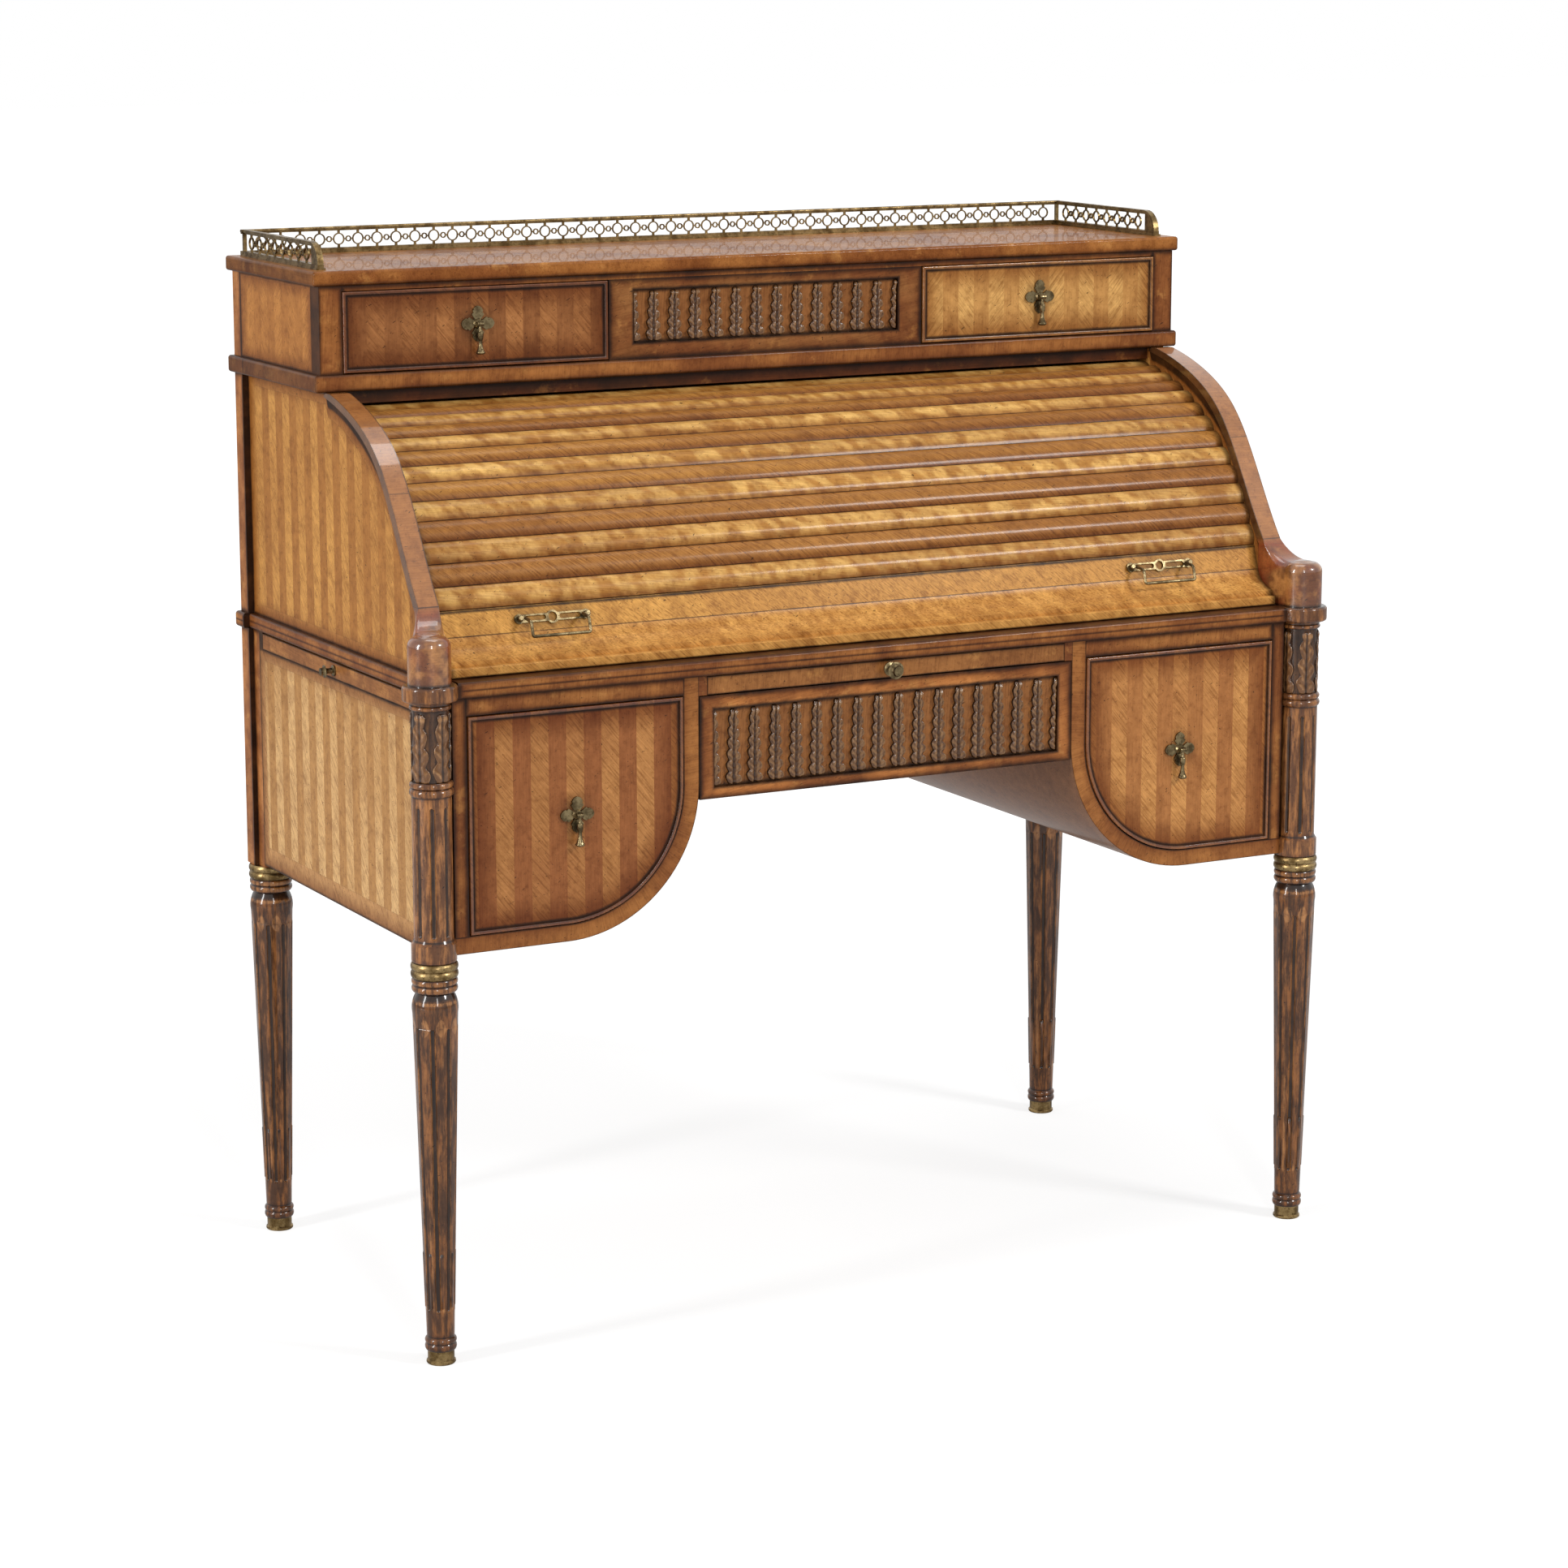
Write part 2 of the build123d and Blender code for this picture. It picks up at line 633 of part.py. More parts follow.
# ================================================================ desk level
with BuildPart() as desk_moulding:
    step_y = roll_post_y - 1
    side_edge = side_half + 4.5
    with BuildSketch(Plane.XY.offset(desk_under)):
        Polygon((-moulding_half, back_y), (-moulding_half, step_y), (-side_edge, step_y),
                (-side_edge, case_front - 9.5), (side_edge, case_front - 9.5),
                (side_edge, step_y), (moulding_half, step_y), (moulding_half, back_y), align=None)
    extrude(amount=desk_top - desk_under)
    fillet(desk_moulding.edges().filter_by(Axis.Z).group_by(Axis.Y)[-1], 5)
    fillet(desk_moulding.faces().sort_by(Axis.Z)[-1].edges(), 3.5)
    fillet(desk_moulding.faces().sort_by(Axis.Z)[0].edges(), 3.5)
    slab_between((-roll_side_inner + 2, roll_side_inner - 2), (case_front + 16, roll_panel_y - 1),
                 (desk_under - 1, desk_top + 1), mode=Mode.SUBTRACT)
    for hand in (-1, 1):
        with Locations((hand * leg_x, front_leg_y, (desk_under + desk_top) / 2)):
            Cylinder(collar_radius + glue, 30, mode=Mode.SUBTRACT)
save(desk_moulding, "desk_moulding")

with BuildPart() as writing_bed:
    slab_between((-roll_side_inner + 2 + glue, roll_side_inner - 2 - glue),
                 (case_front + 16 + glue, roll_panel_y - 1 - glue), (desk_under, desk_top - 0.5))
save(writing_bed, "writing_bed")

# pigeonholes stand on the writing bed behind the roll
rack_half = roll_side_inner - 21
rack_y = (roll_panel_y - 157, roll_panel_y - 27)
rack_low = desk_top - 0.5 + glue
shelf = 6.0
rack_levels = (rack_low, desk_top + 60, desk_top + 126)
with BuildPart() as pigeonholes:
    for level in rack_levels:
        slab_between((-rack_half, rack_half), (rack_y[0], rack_y[1] - shelf - glue),
                     (level, level + shelf))
    slab_between((-rack_half, rack_half), (rack_y[1] - shelf, rack_y[1]),
                 (rack_low, rack_levels[2] + shelf))
    for low, high, bays in ((rack_levels[0], rack_levels[1], 3), (rack_levels[1], rack_levels[2], 6)):
        for number in range(bays + 1):
            x = (shelf / 2 - rack_half) + number * (2 * rack_half - shelf) / bays
            slab_between((x - shelf / 2, x + shelf / 2), (rack_y[0], rack_y[1] - shelf - glue),
                         (low + shelf + glue, high - glue))
save(pigeonholes, "pigeonholes")

# ================================================================ lower case
lower_z = (case_bottom, desk_under - glue)
shell_y = (case_front, roll_post_y)
with BuildPart() as pedestal_shell:
    outer = pedestal_section(case_front, -shell, lower_z[1], reach=side_half - board - shell)
    extrude(outer, amount=-(shell_y[1] - shell_y[0]))
    inner = pedestal_section(case_front - 1, 0, lower_z[1] + 1, reach=side_half)
    extrude(inner, amount=-(shell_y[1] - shell_y[0] + 2), mode=Mode.SUBTRACT)
    column_place(leg_radius + 0.2, case_bottom - 1, block_top + 1)
    slab_between((low_post_x - glue, side_half), (low_post_y - glue, roll_post_y + 1),
                 (case_bottom - 1, block_top + 1), mode=Mode.SUBTRACT)
save_hands(pedestal_shell, "pedestal_shell")

shell_floor = curve_z - curve_radius
with BuildPart() as corner_post:
    slab_between((stile_x, side_half), (case_front, case_front + post_depth), lower_z)
    slab_between((stile_x - 1, side_half - board + glue), (case_front - 1, case_front + post_depth + 1),
                 (case_bottom - 1, shell_floor + glue), mode=Mode.SUBTRACT)
    column_place(leg_radius + 0.2, case_bottom - 1, desk_under)
save_pair(corner_post, "front_corner_posts")

with BuildPart() as frieze_rail:
    slab_between((curve_x - curve_radius + glue, stile_x - glue),
                 (case_front, case_front + frieze_depth), (frieze_low, lower_z[1]))
save_pair(frieze_rail, "frieze_rails")

with BuildPart() as side_panel:
    slab_between((side_half - board + glue, side_half),
                 (case_front + post_depth + glue, low_post_y - glue), lower_z)
    slab_between((side_half - board - 1, side_half + 1), (slide_front_y - slip, slide_rear_y + slip),
                 (dust_top, desk_under + 1), mode=Mode.SUBTRACT)
save_pair(side_panel, "side_panels")

post_step = roll_post_y
with BuildPart() as back_posts:
    with BuildSketch(Plane.XY.offset(sleeve_top + glue)):
        Polyline_points = [(low_post_x, low_post_y), (side_half, low_post_y), (side_half, post_step),
                           (post_half, post_step), (post_half, back_y), (low_post_x, back_y)]
        Polygon(*Polyline_points, align=None)
    extrude(amount=desk_under - sleeve_top - 2 * glue)
    with Locations((back_leg_x, back_leg_y, sleeve_top + dowel_reach / 2)):
        Cylinder(dowel_radius + glue, dowel_reach + 2, mode=Mode.SUBTRACT)
    slab_between((roll_side_inner, post_half), (roll_post_y, back_y), (desk_top + glue,
                 waist_under - glue))
    groove(groove_end - groove_turn, groove_end)
    slab_between((stile_inner, post_half), (roll_post_y, back_y), upper_z)
    fillet(back_posts.edges().filter_by(Axis.Z).group_by(Axis.X)[-1].group_by(Axis.Y)[-1], 6)
save_pair(back_posts, "back_posts")

with BuildPart() as back_panels:
    slab_between((-stile_inner + glue, stile_inner - glue),
                 (upper_panel_front, upper_panel_front + back_board), upper_z)
    slab_between((-roll_side_inner + glue, roll_side_inner - glue),
                 (roll_panel_y, roll_panel_y + back_board - 1), (desk_top + glue, waist_under - glue))
    for hand in (Plane.XZ, None):
        low_back = pedestal_section(roll_post_y + glue, -shell, lower_z[1],
                                    reach=low_post_x - shell - glue)
        if hand is None:
            low_back = mirror(low_back, about=Plane.YZ, mode=Mode.PRIVATE)
        extrude(low_back, amount=back_board, dir=(0, 1, 0))
    slab_between((-knee_half - 1, knee_half + 1), (roll_post_y + glue, roll_post_y + glue + back_board),
                 (knee_low + 4, lower_z[1]))
save(back_panels, "back_panels")

# ---------------------------------------------------------------- dust boards, guides and runners
side_inner = side_half - board
with BuildPart() as dust_boards:
    slab_between((-knee_half + glue, knee_half - glue), (case_front + front_thick + 2, roll_post_y - glue),
                 (writing_slide_low - slip - 10, writing_slide_low - slip))
    for hand in (-1, 1):
        x = sorted((hand * (curve_x - curve_radius + glue), hand * (side_inner - glue)))
        slab_between(x, (case_front + post_depth + glue, low_post_y - glue), (dust_low, dust_top))
save(dust_boards, "dust_boards")

with BuildPart() as runners:
    guide_z = (dust_top + glue, lower_z[1])
    for y in ((case_front + post_depth + glue, slide_front_y - slip),
              (slide_rear_y + slip, low_post_y - glue)):
        slab_between((curve_x - curve_radius + glue, side_inner - glue), y, guide_z)
    slab_between((writing_slide_half + slip, knee_half - glue), (case_front, roll_post_y - glue),
                 (writing_slide_low - slip + glue, lower_z[1]))
    slab_between((knee_box_half + slip, knee_half - glue), (case_front + 27, roll_post_y - 5),
                 (hanger_low - slip - 11, hanger_low - slip))
    for x in (curve_x + 6, stile_x - 29.5):
        slab_between((x, x + 12), (case_front + front_thick + 2, low_post_y),
                     (shell_floor + glue, shell_floor + box_gap - slip))
    slab_between((stile_inner + glue, upper_inner - glue), (upper_front + frame_thick + glue,
                 roll_post_y - glue), (waist_top + glue, waist_top + 11))
save_pair(runners, "runners_and_guides")

# ---------------------------------------------------------------- pedestal drawers
drawer_back = case_front + front_thick
drawer_top = frieze_low - 1.2
with BuildPart() as pedestal_front:
    extrude(pedestal_section(case_front, 1.2, drawer_top), amount=-front_thick)
    extrude(pedestal_section(case_front - bead_proud, 1.2, drawer_top), amount=-bead_proud - 1)
    extrude(pedestal_section(case_front - bead_proud, 1.2 + bead_wide, drawer_top - bead_wide),
            amount=-bead_proud, mode=Mode.SUBTRACT)
    fillet(pedestal_front.faces().sort_by(Axis.Y)[0].edges(), bead_round)
save_hands(pedestal_front, "pedestal_drawer_front")

box_depth = box_back - drawer_back
with BuildPart() as pedestal_box:
    extrude(pedestal_section(drawer_back + glue, box_gap, box_top),
            amount=-(box_depth - box_wall - 2 * glue))
    extrude(pedestal_section(drawer_back, box_gap + box_wall, box_top + box_wall),
            amount=-box_depth, mode=Mode.SUBTRACT)
    extrude(pedestal_section(box_back - box_wall, box_gap, box_top), amount=-box_wall)
save_hands(pedestal_box, "pedestal_drawer_box")

# ---------------------------------------------------------------- knee drawer
knee_x = (-knee_half + 1.0, knee_half - 1.0)
with BuildPart() as knee_front:
    slab_between(knee_x, (case_front, drawer_back), (knee_low, knee_top))
    slab_between((-knee_carving_half, knee_carving_half),
                 (case_front, case_front + carving_recess + carving_thick + glue),
                 (knee_carving_low, knee_carving_top), mode=Mode.SUBTRACT)
save(knee_front, "knee_drawer_front")

with BuildPart() as knee_carving:
    slab_between((-knee_carving_half + glue, knee_carving_half - glue),
                 (case_front + carving_recess, case_front + carving_recess + carving_thick),
                 (knee_carving_low + glue, knee_carving_top - glue))
save(knee_carving, "knee_carved_panel")

save(open_box((-knee_box_half, knee_box_half), (drawer_back, box_back),
              (knee_low + 5, writing_slide_low - slip - 13), hangers=True), "knee_drawer_box")

# ---------------------------------------------------------------- slides and knobs
with BuildPart() as writing_slide:
    slab_between((-writing_slide_half, writing_slide_half), (case_front, writing_slide_back),
                 (writing_slide_low, writing_slide_top))
save(writing_slide, "writing_slide")

with BuildPart() as side_slide:
    slab_between((slide_inner_x, side_half), (slide_front_y, slide_rear_y),
                 (dust_top + slip, dust_top + slip + slide_thick))
save_hands(side_slide, "side_slide")


def knob(radius):
    """A turned brass knob standing along Z on its rose."""
    return turned([(radius * 0.8, glue, 0), (radius * 0.8, 1.6, 0), (radius * 0.45, 3.0, 0),
                   (radius * 0.4, 7.0, 0), (radius, radius + 4.0, 1.5),
                   (radius * 0.55, radius * 1.7 + 3.5, 1.5)])


with BuildPart() as slide_knob:
    with Locations(facing(0, case_front, (writing_slide_low + writing_slide_top) / 2, (0, -1, 0))):
        add(knob(knob_radius))
save(slide_knob, "writing_slide_knob")

with BuildPart() as side_knob:
    with Locations(facing(side_half, (slide_front_y + slide_rear_y) / 2,
                          dust_top + slip + slide_thick / 2, (1, 0, 0))):
        add(knob(side_knob_radius))
save_hands(side_knob, "side_slide_knob")

# ================================================================ columns, legs and brass
with BuildPart() as front_column:
    with Locations((leg_x, front_leg_y, 0)):
        add(turned([(leg_radius - 1, sleeve_top + glue, 0), (leg_radius, sleeve_top + 2, 0),
                    (leg_radius, block_top - 2, 0), (leg_radius - 1.5, block_top, 0),
                    (shaft_radius, block_top + 3, 0), (shaft_radius, torus_low, 0),
                    (shaft_radius, torus_low + 9, -2.4), (shaft_radius, torus_high, -2.0),
                    (carved_radius, torus_high + 0.5, 0), (carved_radius, carved_top, 0),
                    (shaft_radius - 0.4, carved_top, 0), (shaft_radius - 0.4, carved_top + 5, -1.4),
                    (shaft_radius, desk_under - 3, 0), (shaft_radius + 1.5, desk_under + glue, 0.5),
                    (collar_radius - 3, desk_under + glue, 0), (collar_radius, desk_under + 3, -0.9),
                    (collar_radius, desk_top - 3.5, 0), (collar_radius - 3.5, desk_top, -1.0)]))
        with Locations((0, 0, sleeve_top + dowel_reach / 2)):
            Cylinder(dowel_radius + glue, dowel_reach + 2, mode=Mode.SUBTRACT)
        with PolarLocations(shaft_radius + 1.0, column_flutes, start_angle=22.5):
            with Locations((0, 0, (column_flute_low + column_flute_high) / 2)):
                Cylinder(column_flute_radius, column_flute_high - column_flute_low,
                         mode=Mode.SUBTRACT)
            with Locations((0, 0, column_flute_low), (0, 0, column_flute_high)):
                Sphere(column_flute_radius, mode=Mode.SUBTRACT)
save_pair(front_column, "front_columns")

flute_low = ankle_top + 31
flute_high = shoulder_z - 16
taper = (leg_radius - ankle_radius) / (shoulder_z - ankle_top)
flute_mid = (flute_low + flute_high) / 2
flute_lean = degrees(atan2(taper, 1))
flute_axis = ankle_radius + taper * (flute_mid - ankle_top) + 1.0
half_flute = (flute_high - flute_low) / 2
leg_profile = [
    (spigot_radius, 2.6, 0), (spigot_radius, ferrule_top + glue, 0),
    (ankle_radius + 0.8, ferrule_top + glue, 0), (ankle_radius + 0.8, ferrule_top + 8, -1.4),
    (ankle_radius - 0.2, ankle_top - 1, -1.8), (ankle_radius, ankle_top + 2, 0),
    (leg_radius, shoulder_z, 0), (neck_radius, leg_top - 2 * bead_height - 1, -2.2),
    (leg_radius - 1.2, leg_top - 2 * bead_height, 0),
    (leg_radius - 1.2, leg_top - bead_height, -1.6), (leg_radius - 1.2, leg_top, -1.6),
    (dowel_radius, leg_top, 0), (dowel_radius, sleeve_top + dowel_reach - 1, 0)]
with BuildPart() as leg:
    add(turned(leg_profile))
    with PolarLocations(flute_axis, leg_flutes, start_angle=14):
        with Locations(Location((0, 0, flute_mid), (0, flute_lean, 0))):
            Cylinder(leg_flute_radius, 2 * half_flute, mode=Mode.SUBTRACT)
            with Locations((0, 0, -half_flute), (0, 0, half_flute)):
                Sphere(leg_flute_radius, mode=Mode.SUBTRACT)

with BuildPart() as sleeve:
    middle = (leg_top + sleeve_top) / 2
    add(turned([(ring_radius - 1.6, leg_top + glue, 0), (ring_radius - 1.6, middle, -1.6),
                (ring_radius - 1.6, sleeve_top, -1.6)]))
    with Locations((0, 0, middle)):
        Cylinder(dowel_radius + glue, 40, mode=Mode.SUBTRACT)

with BuildPart() as ferrule:
    add(turned([(ferrule_radius + 0.6, 0, 0), (ferrule_radius + 1.5, 1.2, 0),
                (ferrule_radius + 1.3, 3.2, 0), (ferrule_radius, 4.4, 0),
                (ferrule_radius, ferrule_top, 0)]))
    with Locations((0, 0, 2.5 + ferrule_top / 2)):
        Cylinder(spigot_radius + glue, ferrule_top, mode=Mode.SUBTRACT)

leg_places = [(hand * x, y, 0) for x, y in ((leg_x, front_leg_y), (back_leg_x, back_leg_y))
              for hand in (-1, 1)]
for piece, label in ((leg, "legs"), (sleeve, "leg_rings"), (ferrule, "leg_ferrules")):
    with BuildPart() as four:
        with Locations(*leg_places):
            add(piece.part)
    save(four, label)


# ================================================================ drop pulls
def lobe():
    """One lobe of a pull plate: a pointed head on a waist, with a small cusp at each side."""
    r = plate_reach
    with BuildSketch() as leaf:
        with BuildLine():
            for hand in (-1, 1):
                shoulder = (hand * 0.30 * r, 0.76 * r)
                waist = (hand * 0.25 * r, 0.60 * r)
                cusp = (hand * 0.36 * r, 0.50 * r)
                ThreePointArc((0, r), (hand * 0.19 * r, 0.91 * r), shoulder)
                ThreePointArc(shoulder, (hand * 0.30 * r, 0.67 * r), waist)
                ThreePointArc(waist, (hand * 0.33 * r, 0.58 * r), cusp)
                Line(cusp, (0, 0))
        make_face()
    return leaf.sketch


def pull(x, y, z):
    """Plate with its pin, and hanging drop, for a pull centred on the drawer face at x, y, z."""
    face = Plane(origin=(x, y - glue, z), x_dir=(1, 0, 0), z_dir=(0, -1, 0))
    with BuildPart() as plate:
        with BuildSketch(face):
            with PolarLocations(0, 4):
                add(lobe())
        extrude(amount=plate_thick)
        with BuildSketch(face):
            Circle(boss_radius + 1)
        extrude(amount=plate_thick + 2.2, taper=28)
        for side in (-1, 1):
            ear_x = x + side * (eye_half + 0.3 + ear / 2)
            with Locations((ear_x, y - glue - pin_out / 2, z)):
                Box(ear, pin_out, 2 * ear_round)
            with Locations(Location((ear_x, y - pin_out, z), (0, 90, 0))):
                Cylinder(ear_round, ear)
        with Locations(Location((x, y - pin_out, z), (0, 90, 0))):
            Cylinder(pin_radius, 2 * (eye_half + 0.3 + ear))
    with BuildPart() as drop:
        with Locations((x, y - pin_out, z)):
            add(turned([(2.5, -drop_length, 0), (drop_radius - 0.8, -drop_length + 0.6, -0.3),
                        (drop_radius, -drop_length + 2.6, -0.4), (2.1, -drop_length + 15, 1.0),
                        (3.3, -10.5, -0.5), (2.0, -8.2, -0.6), (1.6, -6, 0), (1.6, -1, 0)]))
            with Locations(Location((0, 0, 0), (0, 90, 0))):
                Cylinder(eye_radius, 2 * eye_half)
                Cylinder(pin_radius + pin_play, 2 * eye_half + 4, mode=Mode.SUBTRACT)
        with BuildSketch(Plane.XZ.offset(-y + pin_out - 4)):
            with Locations((x, z - drop_length)):
                Polygon((-drop_split / 2, -1), (drop_split / 2, -1), (0, 12), align=None)
        extrude(amount=8, mode=Mode.SUBTRACT)
    return plate, drop


upper_pull_x = (upper_drawer_x[0] + upper_drawer_x[1]) / 2
lower_pull_x = (curve_x - curve_radius + stile_x) / 2 + 0.75
upper_pull = pull(upper_pull_x, upper_front, waist_top + upper_pull_up)
lower_pull = pull(lower_pull_x, case_front, curve_z - lower_pull_down)
save_hands(upper_pull[0], "upper_pull_plate")
save_hands(upper_pull[1], "upper_pull_drop")
save_hands(lower_pull[0], "lower_pull_plate")
save_hands(lower_pull[1], "lower_pull_drop")
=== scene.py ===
import bmesh
import bpy
from math import cos, pi, radians, sin, sqrt
from mathutils import Matrix, Vector


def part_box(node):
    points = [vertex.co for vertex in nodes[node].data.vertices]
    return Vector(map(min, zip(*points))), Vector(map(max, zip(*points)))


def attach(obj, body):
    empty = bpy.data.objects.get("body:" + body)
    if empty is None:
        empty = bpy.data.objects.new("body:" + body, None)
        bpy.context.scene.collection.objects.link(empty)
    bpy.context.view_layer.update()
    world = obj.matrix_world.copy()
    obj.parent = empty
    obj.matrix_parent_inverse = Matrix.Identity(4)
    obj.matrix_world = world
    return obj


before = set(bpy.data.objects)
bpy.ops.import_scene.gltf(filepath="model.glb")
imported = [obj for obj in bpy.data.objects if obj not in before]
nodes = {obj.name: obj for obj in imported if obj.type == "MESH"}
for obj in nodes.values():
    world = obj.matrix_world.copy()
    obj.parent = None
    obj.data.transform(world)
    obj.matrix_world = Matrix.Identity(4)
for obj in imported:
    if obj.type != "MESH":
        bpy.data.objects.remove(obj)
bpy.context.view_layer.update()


# ---------------------------------------------------------------- the desk's own places, in metres
def ends(name, axis):
    """Where a node begins and ends along an axis."""
    low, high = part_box(name)
    index = "xyz".index(axis)
    return low[index], high[index]


def centre_of(name):
    """The middle of a node in x, taken positive, and in z."""
    low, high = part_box(name)
    return abs(low[0] + high[0]) / 2, (low[2] + high[2]) / 2


ROLL_CENTRE = (0.064, 0.712)      # y and z of the roll's arc
ROLL_BOARD = 0.293                # radius of the side boards' curved front
SLAT_LOW = 19.2                   # degrees from the front to the lowest slat's lower edge
SLAT_STEP = 5.2                   # degrees that a slat takes
SLAT_WIDTH = 0.026                # the same round the roll
CURVE_CENTRE = (0.394, 0.6045)    # x and z of the quarter curve under each pedestal
SHELL_INNER = 0.139               # reach of a pedestal shell's inner face from its middle lines
SHELL_OUTER = 0.1575
DRAWER_REACH = 0.1378             # the same for the drawer front inside it
LEG_SEATS = ((0.550, -0.261), (0.529, 0.2646))
LEG_TAPER = 0.02577               # growth of a leg's radius with height
LEG_FOOT = (0.031, 0.0150)        # height and radius where the taper begins
LEG_RINGS = (                     # height, reach and strength of the dirt in a leg's grooves
    (0.0310, 0.0016, 0.8), (0.0232, 0.0012, 0.8), (0.0154, 0.003, 0.8), (0.4110, 0.003, 0.85),
    (0.4195, 0.0012, 0.8), (0.427, 0.002, 0.8))
COLUMN_RADIUS = 0.0213            # of the fluted shaft
COLUMN_RINGS = (                  # the same for a column, below the moulding
    (0.4440, 0.002, 0.8), (0.4675, 0.002, 0.85), (0.6220, 0.002, 0.8), (0.6310, 0.0010, 0.8),
    (0.6385, 0.0015, 0.8), (0.7140, 0.0015, 0.85), (0.7195, 0.0015, 0.85))
COLUMN_LEAF = (0.6387, 0.7112)    # foot and tip of the leaves on a column
CAP_JOINT = 0.814                 # height where the polished cap begins on a rim
RIM_JOINT = 0.925                 # and where two blocks of the rim meet
LIP_JOINT = 0.778                 # where the lip's upper and lower veneers meet
HANDLE_ROW = 0.789                # height of the dirt round the handles
INLAY = 0.0415                    # one light and one dark strip together
BEAD = 0.0038                     # width of the bead round a drawer front
HAIRLINE = 0.0008                 # width of the joint between border and strips

slab_low = ends("top_slab", "z")[0]
slab_side = ends("top_slab", "x")[1]
waist_low, waist_high = ends("waist_board", "z")
desk_low, desk_high = ends("desk_moulding", "z")
apron_top = ends("dust_boards", "z")[1]
apron_foot = ends("side_panels", "z")[0]
case_side = ends("side_panels", "x")[1]
upper_side = ends("upper_front_frame", "x")[1]
upper_drawer_side = ends("upper_drawer_front_right", "x")[1]
case_back = ends("upper_sides", "y")[1]
post_back = ends("back_posts", "y")[1]
panel_front, panel_back = ends("side_panels", "y")
upper_panel_front = ends("upper_sides", "y")[0]
post_outer = ends("pedestal_shell_right", "x")[1]
drawer_outer = ends("pedestal_drawer_front_right", "x")[1]
post_inner = ends("frieze_rails", "x")[1]
rim_inner = ends("roll_rim_right", "x")[0]
roll_end = ends("roll_lip", "x")[1]
lip_front = ends("roll_lip", "y")[0]
lip_foot, lip_top = ends("roll_lip", "z")
front_face = ends("pedestal_shell_right", "y")[0]


def tone(red, green, blue):
    """A colour given as 0-255 display values, as the shader needs it."""
    def linear(value):
        value = value / 255
        return value / 12.92 if value <= 0.04045 else ((value + 0.055) / 1.055) ** 2.4
    return (linear(red), linear(green), linear(blue), 1.0)


AMBER = tone(180, 126, 68)
CROSSBAND = tone(156, 100, 50)
RUSSET = tone(116, 64, 30)
CHESTNUT = tone(106, 62, 30)
WALNUT = tone(84, 50, 26)
UMBER = tone(26, 13, 6)
PALE_WOOD = tone(168, 122, 74)
DEEPER = (0.44, 0.32, 0.22, 1)     # multiplies a colour into its darker grain
LIGHTER = (1.42, 1.48, 1.55, 1)    # and into its lighter grain
REDDER = (0.40, 0.25, 0.14, 1)     # and into the stain towards an edge


# ---------------------------------------------------------------- shader arithmetic
class Wire:
    """One shader socket that takes Python arithmetic."""

    def __init__(self, finish, socket):
        self.finish = finish
        self.socket = socket

    def maths(self, operation, *others):
        return self.finish.maths(operation, self, *others)

    def __add__(self, other):
        return self.maths("ADD", other)

    __radd__ = __add__

    def __sub__(self, other):
        return self.maths("SUBTRACT", other)

    def __rsub__(self, other):
        return self.finish.maths("SUBTRACT", other, self)

    def __mul__(self, other):
        return self.maths("MULTIPLY", other)

    __rmul__ = __mul__

    def __truediv__(self, other):
        return self.maths("DIVIDE", other)

    def __abs__(self):
        return self.maths("ABSOLUTE")

    def __mod__(self, other):
        return self.maths("FLOORED_MODULO", other)

    def over(self, edge):
        return self.maths("GREATER_THAN", edge)

    def under(self, edge):
        return self.maths("LESS_THAN", edge)

    def least(self, other):
        return self.maths("MINIMUM", other)

    def most(self, other):
        return self.maths("MAXIMUM", other)

    def floor(self):
        return self.maths("FLOOR")

    def root(self):
        return self.maths("SQRT")

    def rise(self, low, high, at_low=0.0, at_high=1.0):
        """A smooth step from at_low to at_high as the value goes from low to high."""
        return self.finish.node("ShaderNodeMapRange", {"interpolation_type": "SMOOTHSTEP"},
                                {0: self, 1: low, 2: high, 3: at_low, 4: at_high})


